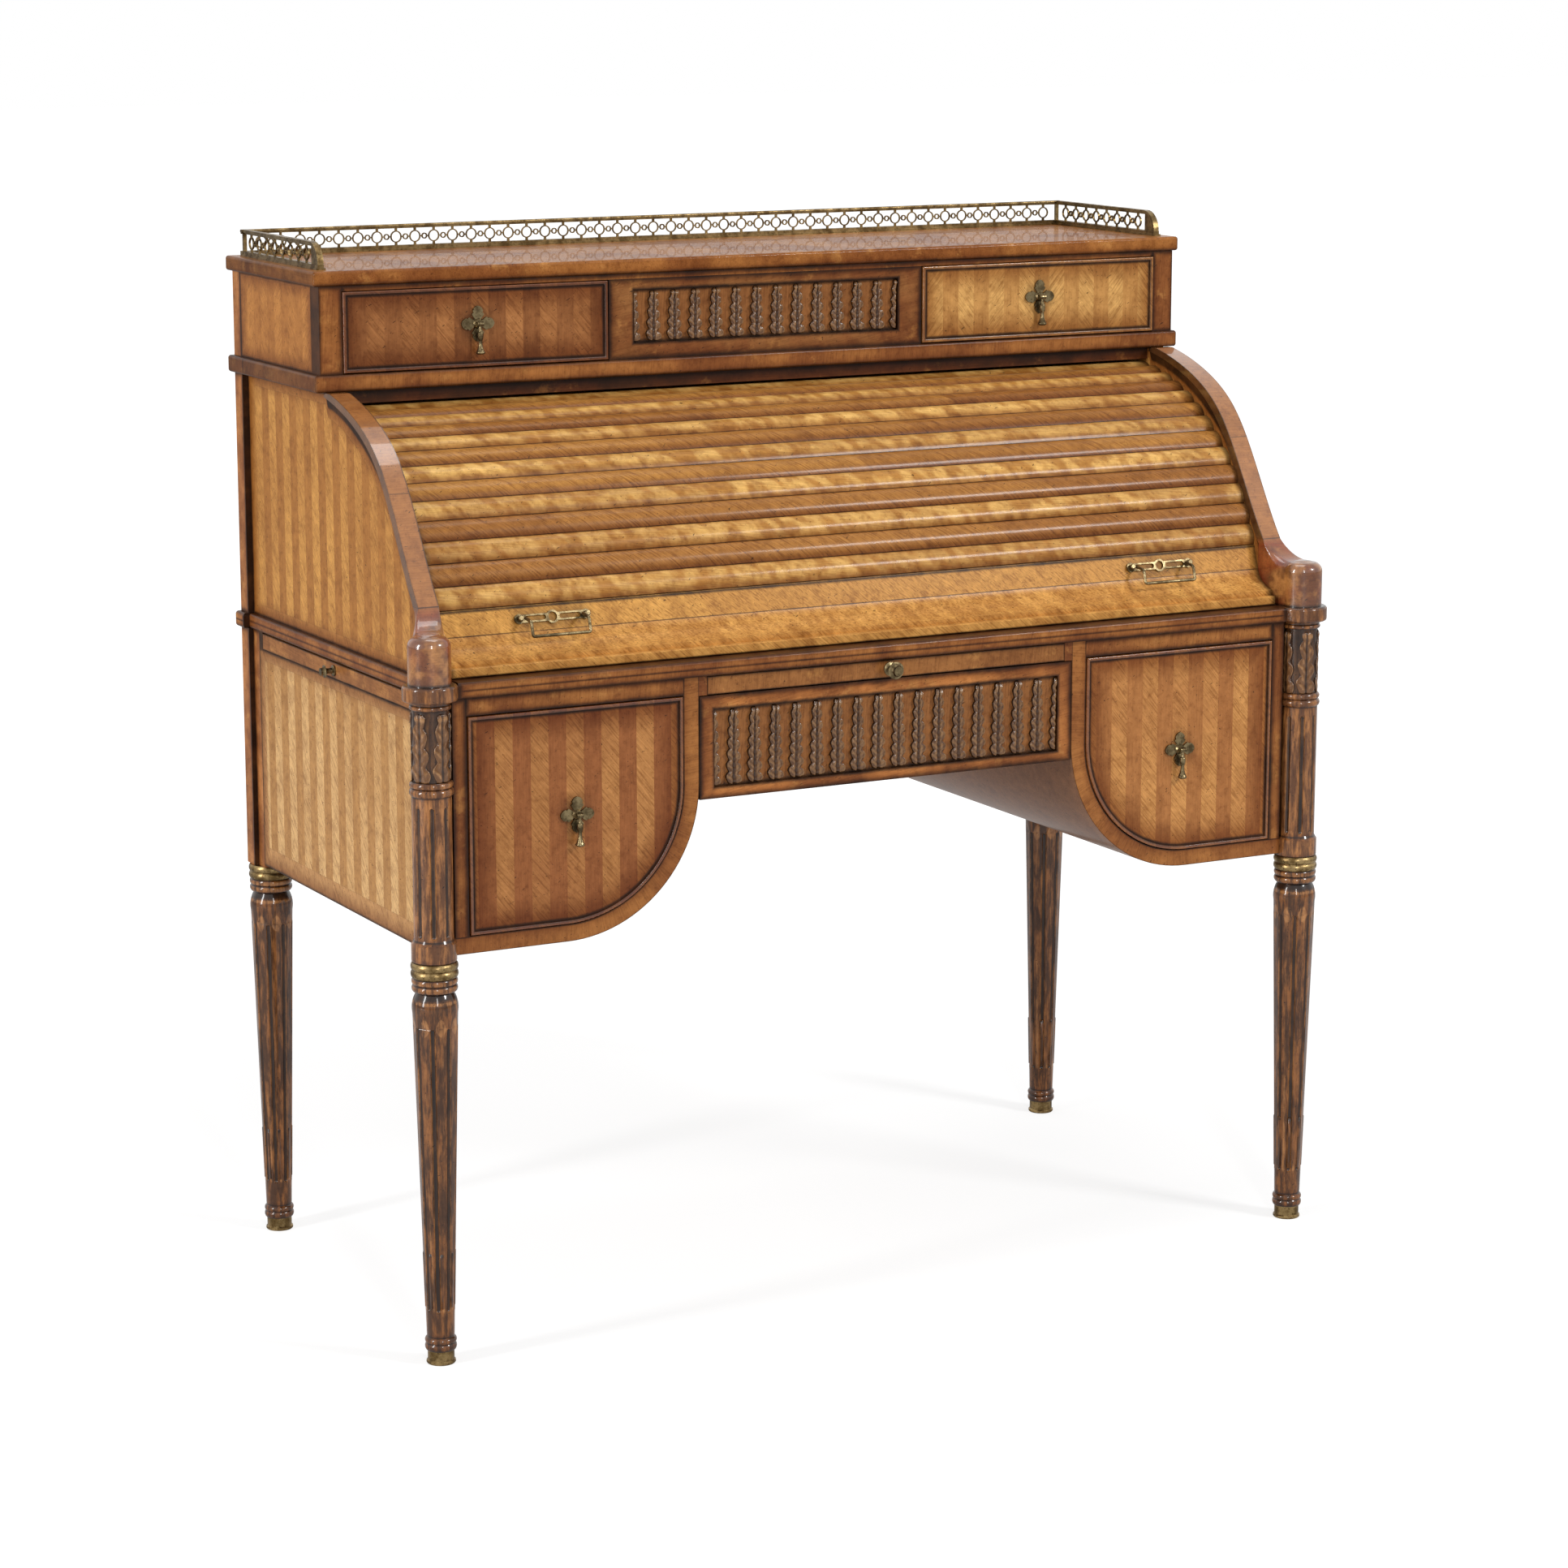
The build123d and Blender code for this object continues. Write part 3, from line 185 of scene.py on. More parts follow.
class Finish:
    """One procedural material, built from wires; x, y and z are places on the desk."""

    def __init__(self, name):
        self.material = bpy.data.materials.new(name)
        self.material.use_nodes = True
        self.tree = self.material.node_tree
        self.shader = self.tree.nodes["Principled BSDF"]
        self.place = self.node("ShaderNodeTexCoord", output="Object")
        split = self.tree.nodes.new("ShaderNodeSeparateXYZ")
        self.tree.links.new(self.place.socket, split.inputs[0])
        self.x = Wire(self, split.outputs[0])
        self.y = Wire(self, split.outputs[1])
        self.z = Wire(self, split.outputs[2])

    def node(self, kind, settings=None, values=None, output=0):
        """Add a node; values feeds its inputs, by name or number, from wires or constants."""
        made = self.tree.nodes.new(kind)
        for key, value in (settings or {}).items():
            setattr(made, key, value)
        for key, value in (values or {}).items():
            if isinstance(value, Wire):
                self.tree.links.new(value.socket, made.inputs[key])
            else:
                made.inputs[key].default_value = value
        return Wire(self, made.outputs[output])

    def maths(self, operation, *values):
        return self.node("ShaderNodeMath", {"operation": operation}, dict(enumerate(values)))

    def join(self, x, y, z):
        return self.node("ShaderNodeCombineXYZ", values={0: x, 1: y, 2: z})

    def noise(self, place, scale, detail=3.0, roughness=0.55):
        return self.node("ShaderNodeTexNoise", values={
            "Vector": place, "Scale": scale, "Detail": detail, "Roughness": roughness})

    def mix(self, factor, low, high, blend="MIX"):
        return self.node("ShaderNodeMix", {"data_type": "RGBA", "blend_type": blend},
                         {0: factor, 6: low, 7: high}, output=2)

    def done(self, colour, roughness, height=None, strength=0.25, depth=0.0004, coat=None,
             **constants):
        """Feed the shader; constants go straight on its sockets."""
        for value, socket in ((colour, "Base Color"), (roughness, "Roughness"),
                              (coat, "Coat Weight")):
            if value is None:
                continue
            if isinstance(value, Wire):
                self.tree.links.new(value.socket, self.shader.inputs[socket])
            else:
                self.shader.inputs[socket].default_value = value
        if height is not None:
            bump = self.node("ShaderNodeBump", values={
                "Strength": strength, "Distance": depth, "Height": height})
            self.tree.links.new(bump.socket, self.shader.inputs["Normal"])
        for key, value in constants.items():
            if key != "Coat_Weight" or coat is None:
                self.shader.inputs[key.replace("_", " ")].default_value = value
        return self.material


# ---------------------------------------------------------------- wood
def grain(f, u, v, w, angle):
    """Grain running at an angle in the plane of u and v: fine lines, figure and pores."""
    along = u * cos(radians(angle)) + v * sin(radians(angle))
    across = v * cos(radians(angle)) - u * sin(radians(angle))
    lines = f.noise(f.join(along * 34, across * 640, w * 560), 1.0, 2.0, 0.5)
    figure = f.noise(f.join(along * 70, across * 110, w * 80), 1.0, 3.0, 0.6)
    pores = f.noise(f.join(along * 150, across * 900, w * 400), 1.0, 1.0)
    return lines, figure, pores


def chosen(f, factor, one, two):
    """One grain where factor is 0 and the other where it is 1."""
    return [f.node("ShaderNodeMix", {"data_type": "FLOAT"}, {0: factor, 2: a, 3: b})
            for a, b in zip(one, two)]


def patina(f, colour, pattern, dirt, warm=0.0, marks=1.0, hair=0.5):
    """Shade a wood colour with its grain, its age, and the stain, dirt and painted shade given for
    its edges.
    """
    lines, figure, pores = pattern
    cloud = f.noise(f.place, 24.0, 5.0, 0.68)
    mottle = f.noise(f.place, 130.0, 4.0, 0.65)
    specks = f.noise(f.place, 430.0, 2.0, 0.5)
    scratches = f.noise(f.join(f.x * 110 + f.z * 60, f.y * 240, f.z * 420 - f.x * 260), 1.0, 1.0)
    shade = f.mix(1.0, colour, DEEPER, "MULTIPLY")
    shine = f.mix(1.0, colour, LIGHTER, "MULTIPLY")
    colour = f.mix(lines.rise(0.32, 0.50, hair, 0.0), colour, shade)
    colour = f.mix(lines.rise(0.53, 0.68, 0.0, hair * 0.8), colour, shine)
    colour = f.mix(figure.rise(0.50, 0.70, 0.0, 0.30), colour, shine)
    colour = f.mix(figure.rise(0.30, 0.48, 0.28, 0.0), colour, shade)
    colour = f.mix(cloud.rise(0.48, 0.70, 0.0, 0.40), colour, shade)
    colour = f.mix(mottle.rise(0.52, 0.70, 0.0, 0.42), colour, shade)
    colour = f.mix(mottle.rise(0.30, 0.46, 0.30, 0.0), colour, shine)
    stained = f.mix(1.0, colour, REDDER, "MULTIPLY")
    colour = f.mix(warm, colour, stained)
    colour = f.mix(pores.rise(0.70, 0.78) * 0.45 * marks, colour, UMBER)
    colour = f.mix(specks.rise(0.70, 0.75) * 0.8 * marks, colour, UMBER)
    colour = f.mix(scratches.rise(0.735, 0.76) * 0.7 * marks, colour, UMBER)
    rough_dirt = (dirt + (cloud - 0.5) * 0.8 * dirt.rise(0.02, 0.3)).most(0.0).least(0.95)
    return f.mix(rough_dirt, colour, UMBER), lines * 0.5 + pores.rise(0.70, 0.78, 0.0, -0.8)


def near(distance, width, strength):
    """The strength of dirt, stain and painted shade at a distance from an edge."""
    return distance.rise(0.0, width, strength, 0.0)


def dirt_of(f, lines, wider=1.0, weaker=1.0):
    """Dirt gathered along planes, and some painted shadows; each is an axis letter, a place, a
    reach and a strength.

    Places on x count on both sides of the desk."""
    total = f.x * 0.0
    for axis, value, reach, strength in lines:
        coordinate = abs(f.x) if axis == "x" else getattr(f, axis)
        total = total.most(near(abs(coordinate - value), reach * wider, strength * weaker))
    return total


def plane_of(f, face):
    """The two in-plane coordinates and the outward one of a flat face, by its name."""
    if face == "front":
        return f.x, f.z, f.y
    if face == "side":
        return f.y, f.z, f.x
    return f.x, f.y, f.z


POLISH = {"Coat_Weight": 0.16, "Coat_Roughness": 0.14, "Specular_IOR_Level": 0.10}
HIGH_POLISH = {"Coat_Weight": 0.7, "Coat_Roughness": 0.07, "Specular_IOR_Level": 0.10}


def banding(name, face, angle, lines, colour=CROSSBAND, second=RUSSET, rough=0.42,
            extra=None, polish=POLISH):
    """Plain figured veneer or solid wood in two mottled colours, with dirty edges."""
    f = Finish(name)
    u, v, w = plane_of(f, face)
    dirt = dirt_of(f, lines, 1.7)
    if extra is not None:
        dirt = dirt.most(extra(f))
    patch = f.noise(f.place, 11.0, 3.0, 0.6)
    streak = f.noise(f.join(u * 30, v * 30, w * 30), 1.0, 4.0, 0.7)
    base = f.mix(patch.rise(0.40, 0.60, 0.0, 0.75), colour, second)
    base = f.mix(streak.rise(0.54, 0.68, 0.0, 0.6), base, AMBER)
    shade, height = patina(f, base, grain(f, u, v, w, angle), dirt,
                           dirt_of(f, lines, 3.5, 0.75), hair=0.32)
    return f.done(shade, rough, height, **polish)


def strips(u, offset):
    """The strips of an inlay: 1 on light strips, 0 on dark ones, and the number of each strip."""
    turn = (u - offset) / INLAY
    return (turn % 1.0).under(0.5), (turn * 2.0).floor()


def inlaid(name, face, offset, slants, border, edge, pale, deep, contrast=1.0):
    """Light and dark strips of veneer inside a plain border.

    slants are the two directions of the light strips' fine lines, used in turn; border gives
    1 inside the strips' field; edge gives the dirt and the wide stain."""
    f = Finish(name)
    u, v, w = plane_of(f, face)
    light, number = strips(u, offset)
    pair = (number / 2.0).floor() % 2.0
    lined = grain(f, u, v, w, slants[0])
    if slants[1] != slants[0]:
        lined = chosen(f, pair, lined, grain(f, u, v, w, slants[1]))
    plain = grain(f, u, v, w, 90)
    vary = f.node("ShaderNodeTexWhiteNoise", {"noise_dimensions": "1D"}, {"W": number})
    fade = f.noise(f.place, 6.0, 2.0).rise(0.36, 0.64, 0.45, 1.0)
    middle = (1.0 - contrast) * 0.5
    strip = f.mix(light * contrast * fade + middle + (vary - 0.5) * 0.24, deep, pale)
    field = border(f)
    seam = (1.0 - abs(field - 0.5) * 2.0).rise(0.0, 1.0, 0.0, 0.45)
    colour = f.mix(field, f.mix(0.45, CROSSBAND, pale), strip)
    dirt, warm, bead = edge(f)
    shade, height = patina(f, colour, chosen(f, light, plain, lined), dirt.most(seam), warm,
                           hair=0.22 + 0.30 * light)
    return f.done(shade, 0.42, height, coat=bead * 0.9 + 0.12, **POLISH)


def put(material, *names):
    """Give CAD nodes a finish."""
    for name in names:
        for slot in nodes[name].material_slots:
            slot.material = material


def inside(sides):
    """Distance inside an outline given by the distances from its sides."""
    least = sides[0]
    for side in sides[1:]:
        least = least.least(side)
    return least


def rim_stain(depth, reach=0.024, strength=0.8):
    """Black line beside the rim of a face, a wide stain further in, and no bead."""
    return near(depth, 0.0042, 0.9), near(depth, reach, strength), depth * 0.0


def bead_stain(depth):
    """The same inside a drawer's bead, with the bead itself brown."""
    bead = depth.rise(BEAD - 0.0004, BEAD, 1.0, 0.0)
    line = near(abs(depth - BEAD - 0.0010), 0.0036, 0.95)
    return line, (bead * 0.8).most(near(depth - BEAD, 0.036, 0.85)), bead


def pedestal_reach(f):
    """Distance from the middle lines of the pedestal's outline: its straight wall, curve, floor."""
    left = (CURVE_CENTRE[0] - abs(f.x)).most(0.0)
    down = (CURVE_CENTRE[1] - f.z).most(0.0)
    return (left * left + down * down).root()


def halo(f, middle):
    """Dirt gathered round a pull, given by its x and z."""
    across = abs(f.x) - middle[0]
    up = f.z - middle[1]
    return near((across * across + up * up).root(), 0.030, 0.6)


# ---------------------------------------------------------------- finishes of the upper case
put(banding("slab veneer", "top", 90, [
    ("z", slab_low, 0.003, 0.8), ("x", slab_side, 0.0025, 0.4)], rough=0.34,
    polish={"Coat_Weight": 0.14, "Coat_Roughness": 0.02, "Specular_IOR_Level": 0.05}), "top_slab")
put(banding("waist veneer", "front", 84, [
    ("z", waist_low, 0.003, 0.8), ("z", waist_high, 0.002, 0.75), ("x", slab_side, 0.002, 0.5),
    ("y", panel_back, 0.002, 0.9)]), "waist_board")
put(banding("upper frame veneer", "front", 86, [
    ("x", upper_drawer_side, 0.004, 0.9), ("x", upper_side, 0.002, 0.8),
    ("z", waist_high, 0.003, 0.8), ("z", slab_low, 0.004, 0.9)]), "upper_front_frame")


def side_face(f, front, back, foot, top, insets=(0.0, 0.0, 0.0, 0.0)):
    """Distance inside a side's rectangle, whose four sides are moved in by the insets."""
    return inside([f.y - front - insets[0], back - insets[1] - f.y,
                   f.z - foot - insets[2], top - insets[3] - f.z])


UPPER_SIDE = (upper_panel_front, case_back, waist_high, slab_low)
UPPER_BORDER = (0.010, 0.012, 0.004, 0.004)


def upper_side_border(f):
    return side_face(f, *UPPER_SIDE, UPPER_BORDER).rise(0.0, HAIRLINE)


def upper_side_edge(f):
    return rim_stain(side_face(f, *UPPER_SIDE), 0.022, 0.75)


put(inlaid("upper side veneer", "side", 0.011, (50, -50), upper_side_border, upper_side_edge,
           tone(186, 127, 64), tone(154, 98, 45), 0.6), "upper_sides")


def drawer_stain(name, pull):
    """Stain along the rim of a rectangular drawer front, on its bead and round its pull."""
    low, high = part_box(name)
    x0, x1 = sorted((abs(low[0]), abs(high[0])))
    middle = centre_of(pull)

    def edge(f):
        sides = [abs(f.x) - x0, x1 - abs(f.x), f.z - low[2], high[2] - f.z]
        dirt, warm, bead = bead_stain(inside(sides))
        return dirt.most(halo(f, middle)), warm, bead
    return edge


def whole(f):
    """No border: the strips cover all of the face."""
    return f.x * 0.0 + 1.0


# The right-hand front gets lighter tones than the left-hand one: painted light on the right,
# painted shade on the left.
for side, slants, pale, deep in (
        ("left", (-50, -50), tone(162, 108, 62), tone(136, 86, 48)),
        ("right", (-50, 50), tone(217, 170, 101), tone(186, 135, 75))):
    name = "upper_drawer_front_" + side
    put(inlaid("drawer veneer " + side, "front", 0.0035, slants, whole,
               drawer_stain(name, "upper_pull_plate_" + side), pale, deep, 0.8), name)


def window(low, high, reach):
    """Dirt round a carved panel's sunk opening."""
    def extra(f):
        past = (abs(f.x) - high[0]).most((f.z - high[2]).most(low[2] - f.z)).most(0.0)
        return near(past, reach, 0.9)
    return extra


for frame_name, panel_name, colour in (
        ("centre_frame", "centre_carved_panel", tone(138, 90, 48)),
        ("knee_drawer_front", "knee_carved_panel", tone(182, 117, 61))):
    low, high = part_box(frame_name)
    put(banding(frame_name + " veneer", "front", 10, [
        ("x", high[0], 0.004, 0.9), ("z", low[2], 0.004, 0.85), ("z", high[2], 0.004, 0.85)],
        colour=colour, extra=window(*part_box(panel_name), 0.004)), frame_name)


# ---------------------------------------------------------------- finishes of the roll
def roll_radius(f):
    """Distance from the axis that the roll turns about."""
    back = f.y - ROLL_CENTRE[0]
    up = f.z - ROLL_CENTRE[1]
    return (back * back + up * up).root()


def roll_side_depth(f, inset):
    """Distance inside the side board's outline, moved in by an inset."""
    front = ROLL_BOARD - inset - roll_radius(f) + f.y.rise(0.020, ROLL_CENTRE[0]) * 0.3
    sides = [front, case_back - inset * 1.6 - f.y, f.z - desk_high - inset,
             waist_low - inset - f.z]
    return inside(sides)


def roll_side_border(f):
    return roll_side_depth(f, 0.012).rise(0.0, HAIRLINE)


def roll_side_edge(f):
    return rim_stain(roll_side_depth(f, 0.0), 0.024, 0.8)


for side in ("left", "right"):
    put(inlaid("roll side veneer " + side, "side", 0.012, (50, 50), roll_side_border,
               roll_side_edge, tone(193, 139, 71), tone(158, 104, 48)), "roll_side_" + side)


def rim_finish(name):
    """The bent rim of a roll side, with its polished and mottled cap."""
    f = Finish(name)
    back = ROLL_CENTRE[0] - f.y
    up = f.z - ROLL_CENTRE[1]
    turn = f.maths("ARCTAN2", up, back)
    edges = dirt_of(f, [("x", rim_inner, 0.002, 0.8), ("x", case_side, 0.0015, 0.6)])
    joints = dirt_of(f, [("z", CAP_JOINT, 0.0012, 0.8), ("z", RIM_JOINT, 0.001, 0.6),
                         ("z", desk_high, 0.004, 0.9)])
    cap = f.z.rise(CAP_JOINT - 0.008, CAP_JOINT + 0.004, 1.0, 0.0)
    patch = f.noise(f.place, 40.0, 3.0, 0.6)
    red = f.noise(f.place, 17.0, 1.0).rise(0.50, 0.62, 0.0, 0.75)
    mottled = f.mix(patch.rise(0.38, 0.62), tone(100, 56, 28), tone(164, 110, 58))
    mottled = f.mix(red, mottled, tone(124, 50, 22))
    colour = f.mix(cap, CROSSBAND, mottled)
    shade, height = patina(f, colour, grain(f, turn * 0.3, f.x, f.y, 90),
                           (edges * (1.0 - cap)).most(joints), 0.0, hair=0.3)
    return f.done(shade, 0.30, height, Coat_Weight=1.0, Coat_Roughness=0.05,
                  Specular_IOR_Level=0.35)


put(rim_finish("rim veneer"), "roll_rim_left", "roll_rim_right")
# The dark band along the head rail's top, under the waist board, is a painted shadow.
put(banding("head rail wood", "front", 0, [
    ("z", waist_low, 0.010, 0.9)], colour=WALNUT), "roll_head_rail")


def quilt(f, along, across, number):
    """Light and dark blotches of quilted figure, lying across a slat."""
    wave = f.noise(f.join(along * 62 + across * 30, across * 45, number * 9.3), 1.0, 2.0, 0.5)
    return wave.rise(0.36, 0.64)


def slat_finish():
    """Slats veneered in blocks, quilted and plain by turns, with dark joints and painted shade in
    the valleys between, painted shade on each slat's lower side and lower on the roll, and a
    painted shadow of the rim at their ends.
    """
    f = Finish("slat veneer")
    back = ROLL_CENTRE[0] - f.y
    up = f.z - ROLL_CENTRE[1]
    turn = (f.maths("ARCTAN2", up, back) * (180 / pi) - SLAT_LOW) / SLAT_STEP
    number = turn.floor()
    within = turn % 1.0
    dark = number % 2.0
    around = turn * SLAT_WIDTH
    leaning = f.x + within * 0.020
    block_length, shift_per_slat = 0.31, 0.37
    cell = (leaning / block_length + number * shift_per_slat).floor()
    block = f.node("ShaderNodeTexWhiteNoise", {"noise_dimensions": "2D"},
                   {"Vector": f.join(cell, number, 0.0)})
    height_shade = f.z.rise(0.80, 0.93, 1.0, 0.0)
    pale = f.mix(quilt(f, f.x, around, number), tone(176, 123, 58), tone(222, 175, 100))
    deep = f.mix(block, tone(174, 121, 58), tone(138, 86, 38))
    deep = f.mix(height_shade * 0.4, deep, tone(136, 84, 44))
    pale = f.mix(block * 0.35 + height_shade * 0.15, pale, deep)
    colour = f.mix(dark, pale, deep)
    pattern = chosen(f, dark, grain(f, f.x, around, number * 0.1, -8),
                     grain(f, f.x, around, number * 0.1, -42))
    # Dark joint lines with painted shade in the valleys between slats.
    valley = near(within, 0.045, 0.92).most(near(1.0 - within, 0.020, 0.92))
    # Painted shade over the lower side of each slat, fed in as the stain.
    painted_lower_shade = near(within, 0.42, 0.8).most(near(1.0 - within, 0.10, 0.6))
    # Painted shadow of the rim across the slats' ends.
    rim_shadow_at_ends = near(roll_end - abs(f.x), 0.010, 0.7)
    shade, height = patina(f, colour, pattern, valley.most(rim_shadow_at_ends), painted_lower_shade,
                           hair=0.35 + dark * 0.35)
    return f.done(shade, 0.38, height, **POLISH)


put(slat_finish(), "roll_slats")


def lip_finish():
    """The roll's bottom rail, in two rows of veneer, with dirt round its handles and a painted
    shadow of the rim at its ends.
    """
    f = Finish("lip veneer")
    upper = f.z.over(LIP_JOINT)
    foot = f.y.under(lip_front + 0.0095)
    leaning = f.x + f.z * 0.5
    block_length, shift_of_upper = 0.34, 0.43
    cell = (leaning / block_length + upper * shift_of_upper).floor()
    block = f.node("ShaderNodeTexWhiteNoise", {"noise_dimensions": "2D"},
                   {"Vector": f.join(cell, upper, foot)})
    pale = f.mix(quilt(f, f.x, f.z, upper), tone(180, 125, 62), tone(206, 151, 80))
    deep = f.mix(block, tone(204, 149, 72), tone(176, 121, 57))
    colour = f.mix(upper * 0.8 + block * 0.2, pale, deep)
    pattern = chosen(f, upper, grain(f, f.x, f.z, f.y, -40), grain(f, f.x, f.z, f.y, -42))
    sloped = f.z.under(lip_foot + 0.0153) * (1.0 - foot)
    # The line at the lip's ends, on roll_end, is a painted shadow of the rim; the others are dark
    # joints.
    lines = dirt_of(f, [("z", LIP_JOINT, 0.0010, 0.85), ("z", lip_top - 0.0015, 0.003, 0.9),
                        ("z", lip_foot, 0.002, 0.9), ("x", roll_end, 0.008, 0.7)])
    handle, half_handle = centre_of("roll_bail_left")[0], 0.030
    across = abs(abs(f.x) - handle).most(half_handle) - half_handle
    up = f.z - HANDLE_ROW
    smudge = near((across * across + up * up * 1.6).root(), 0.026, 0.42)
    shade, height = patina(f, colour, pattern, lines.most(smudge), sloped * 0.8, hair=0.6)
    return f.done(shade, 0.40, height, Coat_Weight=0.06, Coat_Roughness=0.14,
                  Specular_IOR_Level=0.10)


put(lip_finish(), "roll_lip")

# ---------------------------------------------------------------- finishes of the lower case
put(banding("desk moulding veneer", "front", 80, [
    ("z", desk_low, 0.003, 0.85), ("z", desk_high, 0.002, 0.7),
    ("z", (desk_low + desk_high) / 2, 0.0010, 0.7), ("y", case_back, 0.002, 0.9),
    ("x", rim_inner, 0.004, 0.8)]), "desk_moulding")
put(banding("writing bed veneer", "top", 0, [], colour=tone(172, 116, 62),
            second=tone(146, 92, 48)), "writing_bed")
put(banding("post wood", "side", 88, [
    ("y", case_back, 0.003, 0.9), ("y", post_back, 0.002, 0.6),
    ("z", desk_low, 0.004, 0.8), ("z", desk_high, 0.004, 0.8), ("z", waist_low, 0.004, 0.8)],
    colour=tone(176, 116, 66)), "back_posts")
put(banding("corner post veneer", "front", 88, [
    ("x", post_inner, 0.004, 0.92), ("x", post_outer, 0.004, 0.92),
    ("z", desk_low, 0.006, 0.8)]), "front_corner_posts")
put(banding("frieze veneer", "front", 84, [
    ("z", ends("frieze_rails", "z")[0], 0.003, 0.9), ("z", desk_low, 0.003, 0.9),
    ("x", post_inner, 0.003, 0.8)]), "frieze_rails")


def shell_finish(side):
    """A pedestal's outer shell, whose front band bends round with the curve."""
    f = Finish("pedestal shell veneer " + side)
    reach = pedestal_reach(f)
    front = f.y.under(front_face + 0.0005)
    edge = near(reach - SHELL_INNER, 0.0022, 0.92).most(near(SHELL_OUTER - reach, 0.0015, 0.7))
    across = f.maths("ARCTAN2", (CURVE_CENTRE[1] - f.z).most(0.0),
                     (CURVE_CENTRE[0] - abs(f.x)).most(0.001))
    lie = across * 0.15 + f.z.most(CURVE_CENTRE[1]) + abs(f.x).most(CURVE_CENTRE[0])
    patch = f.noise(f.place, 14.0, 2.0, 0.5).rise(0.40, 0.62, 0.0, 0.6)
    colour = f.mix(front, tone(120, 78, 46), f.mix(patch, CROSSBAND, RUSSET))
    shade, height = patina(f, colour, grain(f, reach, lie, f.y, 6), edge * front,
                           near(reach - SHELL_INNER, 0.010, 0.5) * front, hair=0.3)
    return f.done(shade, 0.34, height, **POLISH)


def pedestal_front_edge(side):
    """Stain along the rim of a curved drawer front, on its bead and round its pull."""
    middle = centre_of("lower_pull_plate_" + side)
    top = ends("pedestal_drawer_front_" + side, "z")[1]

    def edge(f):
        sides = [DRAWER_REACH - pedestal_reach(f), drawer_outer - abs(f.x), top - f.z]
        dirt, warm, bead = bead_stain(inside(sides))
        return dirt.most(halo(f, middle)), warm, bead
    return edge


# The right-hand front gets lighter tones than the left-hand one: painted light on the right,
# painted shade on the left.
for side, offset, pale, deep in (
        ("left", 0.0205, tone(174, 120, 68), tone(142, 86, 48)),
        ("right", 0.0, tone(194, 138, 78), tone(158, 102, 56))):
    put(shell_finish(side), "pedestal_shell_" + side)
    put(inlaid("deep drawer veneer " + side, "front", offset, (-50, -50), whole,
               pedestal_front_edge(side), pale, deep), "pedestal_drawer_front_" + side)


SIDE_PANEL = (panel_front, panel_back, apron_foot, apron_top)
SIDE_BORDER = (0.018, 0.015, 0.023, 0.0115)


def side_panel_border(f):
    return side_face(f, *SIDE_PANEL, SIDE_BORDER).rise(0.0, HAIRLINE)


def side_panel_edge(f):
    return rim_stain(side_face(f, *SIDE_PANEL), 0.022, 0.75)


put(inlaid("side panel veneer", "side", 0.0105, (50, 50), side_panel_border, side_panel_edge,
           tone(205, 163, 109), tone(171, 124, 71)), "side_panels")


def slide_rim(name, across):
    """Dirt round the outer end of a slide; its top stays clean. across is the end's long axis."""
    def extra(f):
        lines = [("z", height, 0.002, 0.9) for height in ends(name, "z")]
        lines += [(across, place, 0.002, 0.8) for place in ends(name, across)]
        if across == "y":
            return dirt_of(f, lines) * abs(f.x).over(case_side - 0.001)
        return dirt_of(f, lines) * f.y.under(ends(name, "y")[0] + 0.001)
    return extra


for name, face, angle, across in (
        ("side_slide_left", "side", 4, "y"), ("side_slide_right", "side", 4, "y"),
        ("writing_slide", "front", 84, "x")):
    put(banding(name + " veneer", face, angle, [], colour=tone(150, 98, 52),
                second=tone(124, 76, 38), extra=slide_rim(name, across)), name)

# ---------------------------------------------------------------- plain inside wood and canvas
inner = banding("drawer lining wood", "top", 2, [], colour=PALE_WOOD,
                second=tone(146, 102, 58), rough=0.6)
put(banding("back board wood", "front", 1, [
    ("x", post_inner, 0.006, 0.8),
    *(("z", height, 0.005, 0.7)
      for height in (desk_low, desk_high, waist_low, waist_high, slab_low))],
    colour=tone(166, 112, 64), second=tone(138, 88, 48), rough=0.5), "back_panels")
put(inner, "dust_boards", "knee_drawer_box",
    *(f"{row}_drawer_box_{side}" for row in ("upper", "pedestal") for side in ("left", "right")),
    "pigeonholes", "upper_dividers")
put(banding("guide wood", "top", 2, [], colour=CHESTNUT, rough=0.5), "runners_and_guides")


def canvas_finish():
    """The woven cloth that the slats are glued to."""
    f = Finish("roll canvas")
    threads = 2400.0
    warp = (f.x * threads).maths("SINE")
    weft = (f.z * threads).maths("SINE")
    colour = f.mix(f.noise(f.place, 60.0), tone(150, 132, 98), tone(112, 96, 68))
    return f.done(colour, 0.9, warp + weft, 0.2)


put(canvas_finish(), "roll_canvas")


# ---------------------------------------------------------------- carved and turned wood
def leg_depth(f):
    """Distance from the axis of the leg or column that a place belongs to."""
    rear = f.y.over(0.0)
    across = abs(f.x) - (LEG_SEATS[0][0] - rear * (LEG_SEATS[0][0] - LEG_SEATS[1][0]))
    along = f.y - (LEG_SEATS[0][1] + rear * (LEG_SEATS[1][1] - LEG_SEATS[0][1]))
    return (across * across + along * along).root(), f.maths("ARCTAN2", along, across)


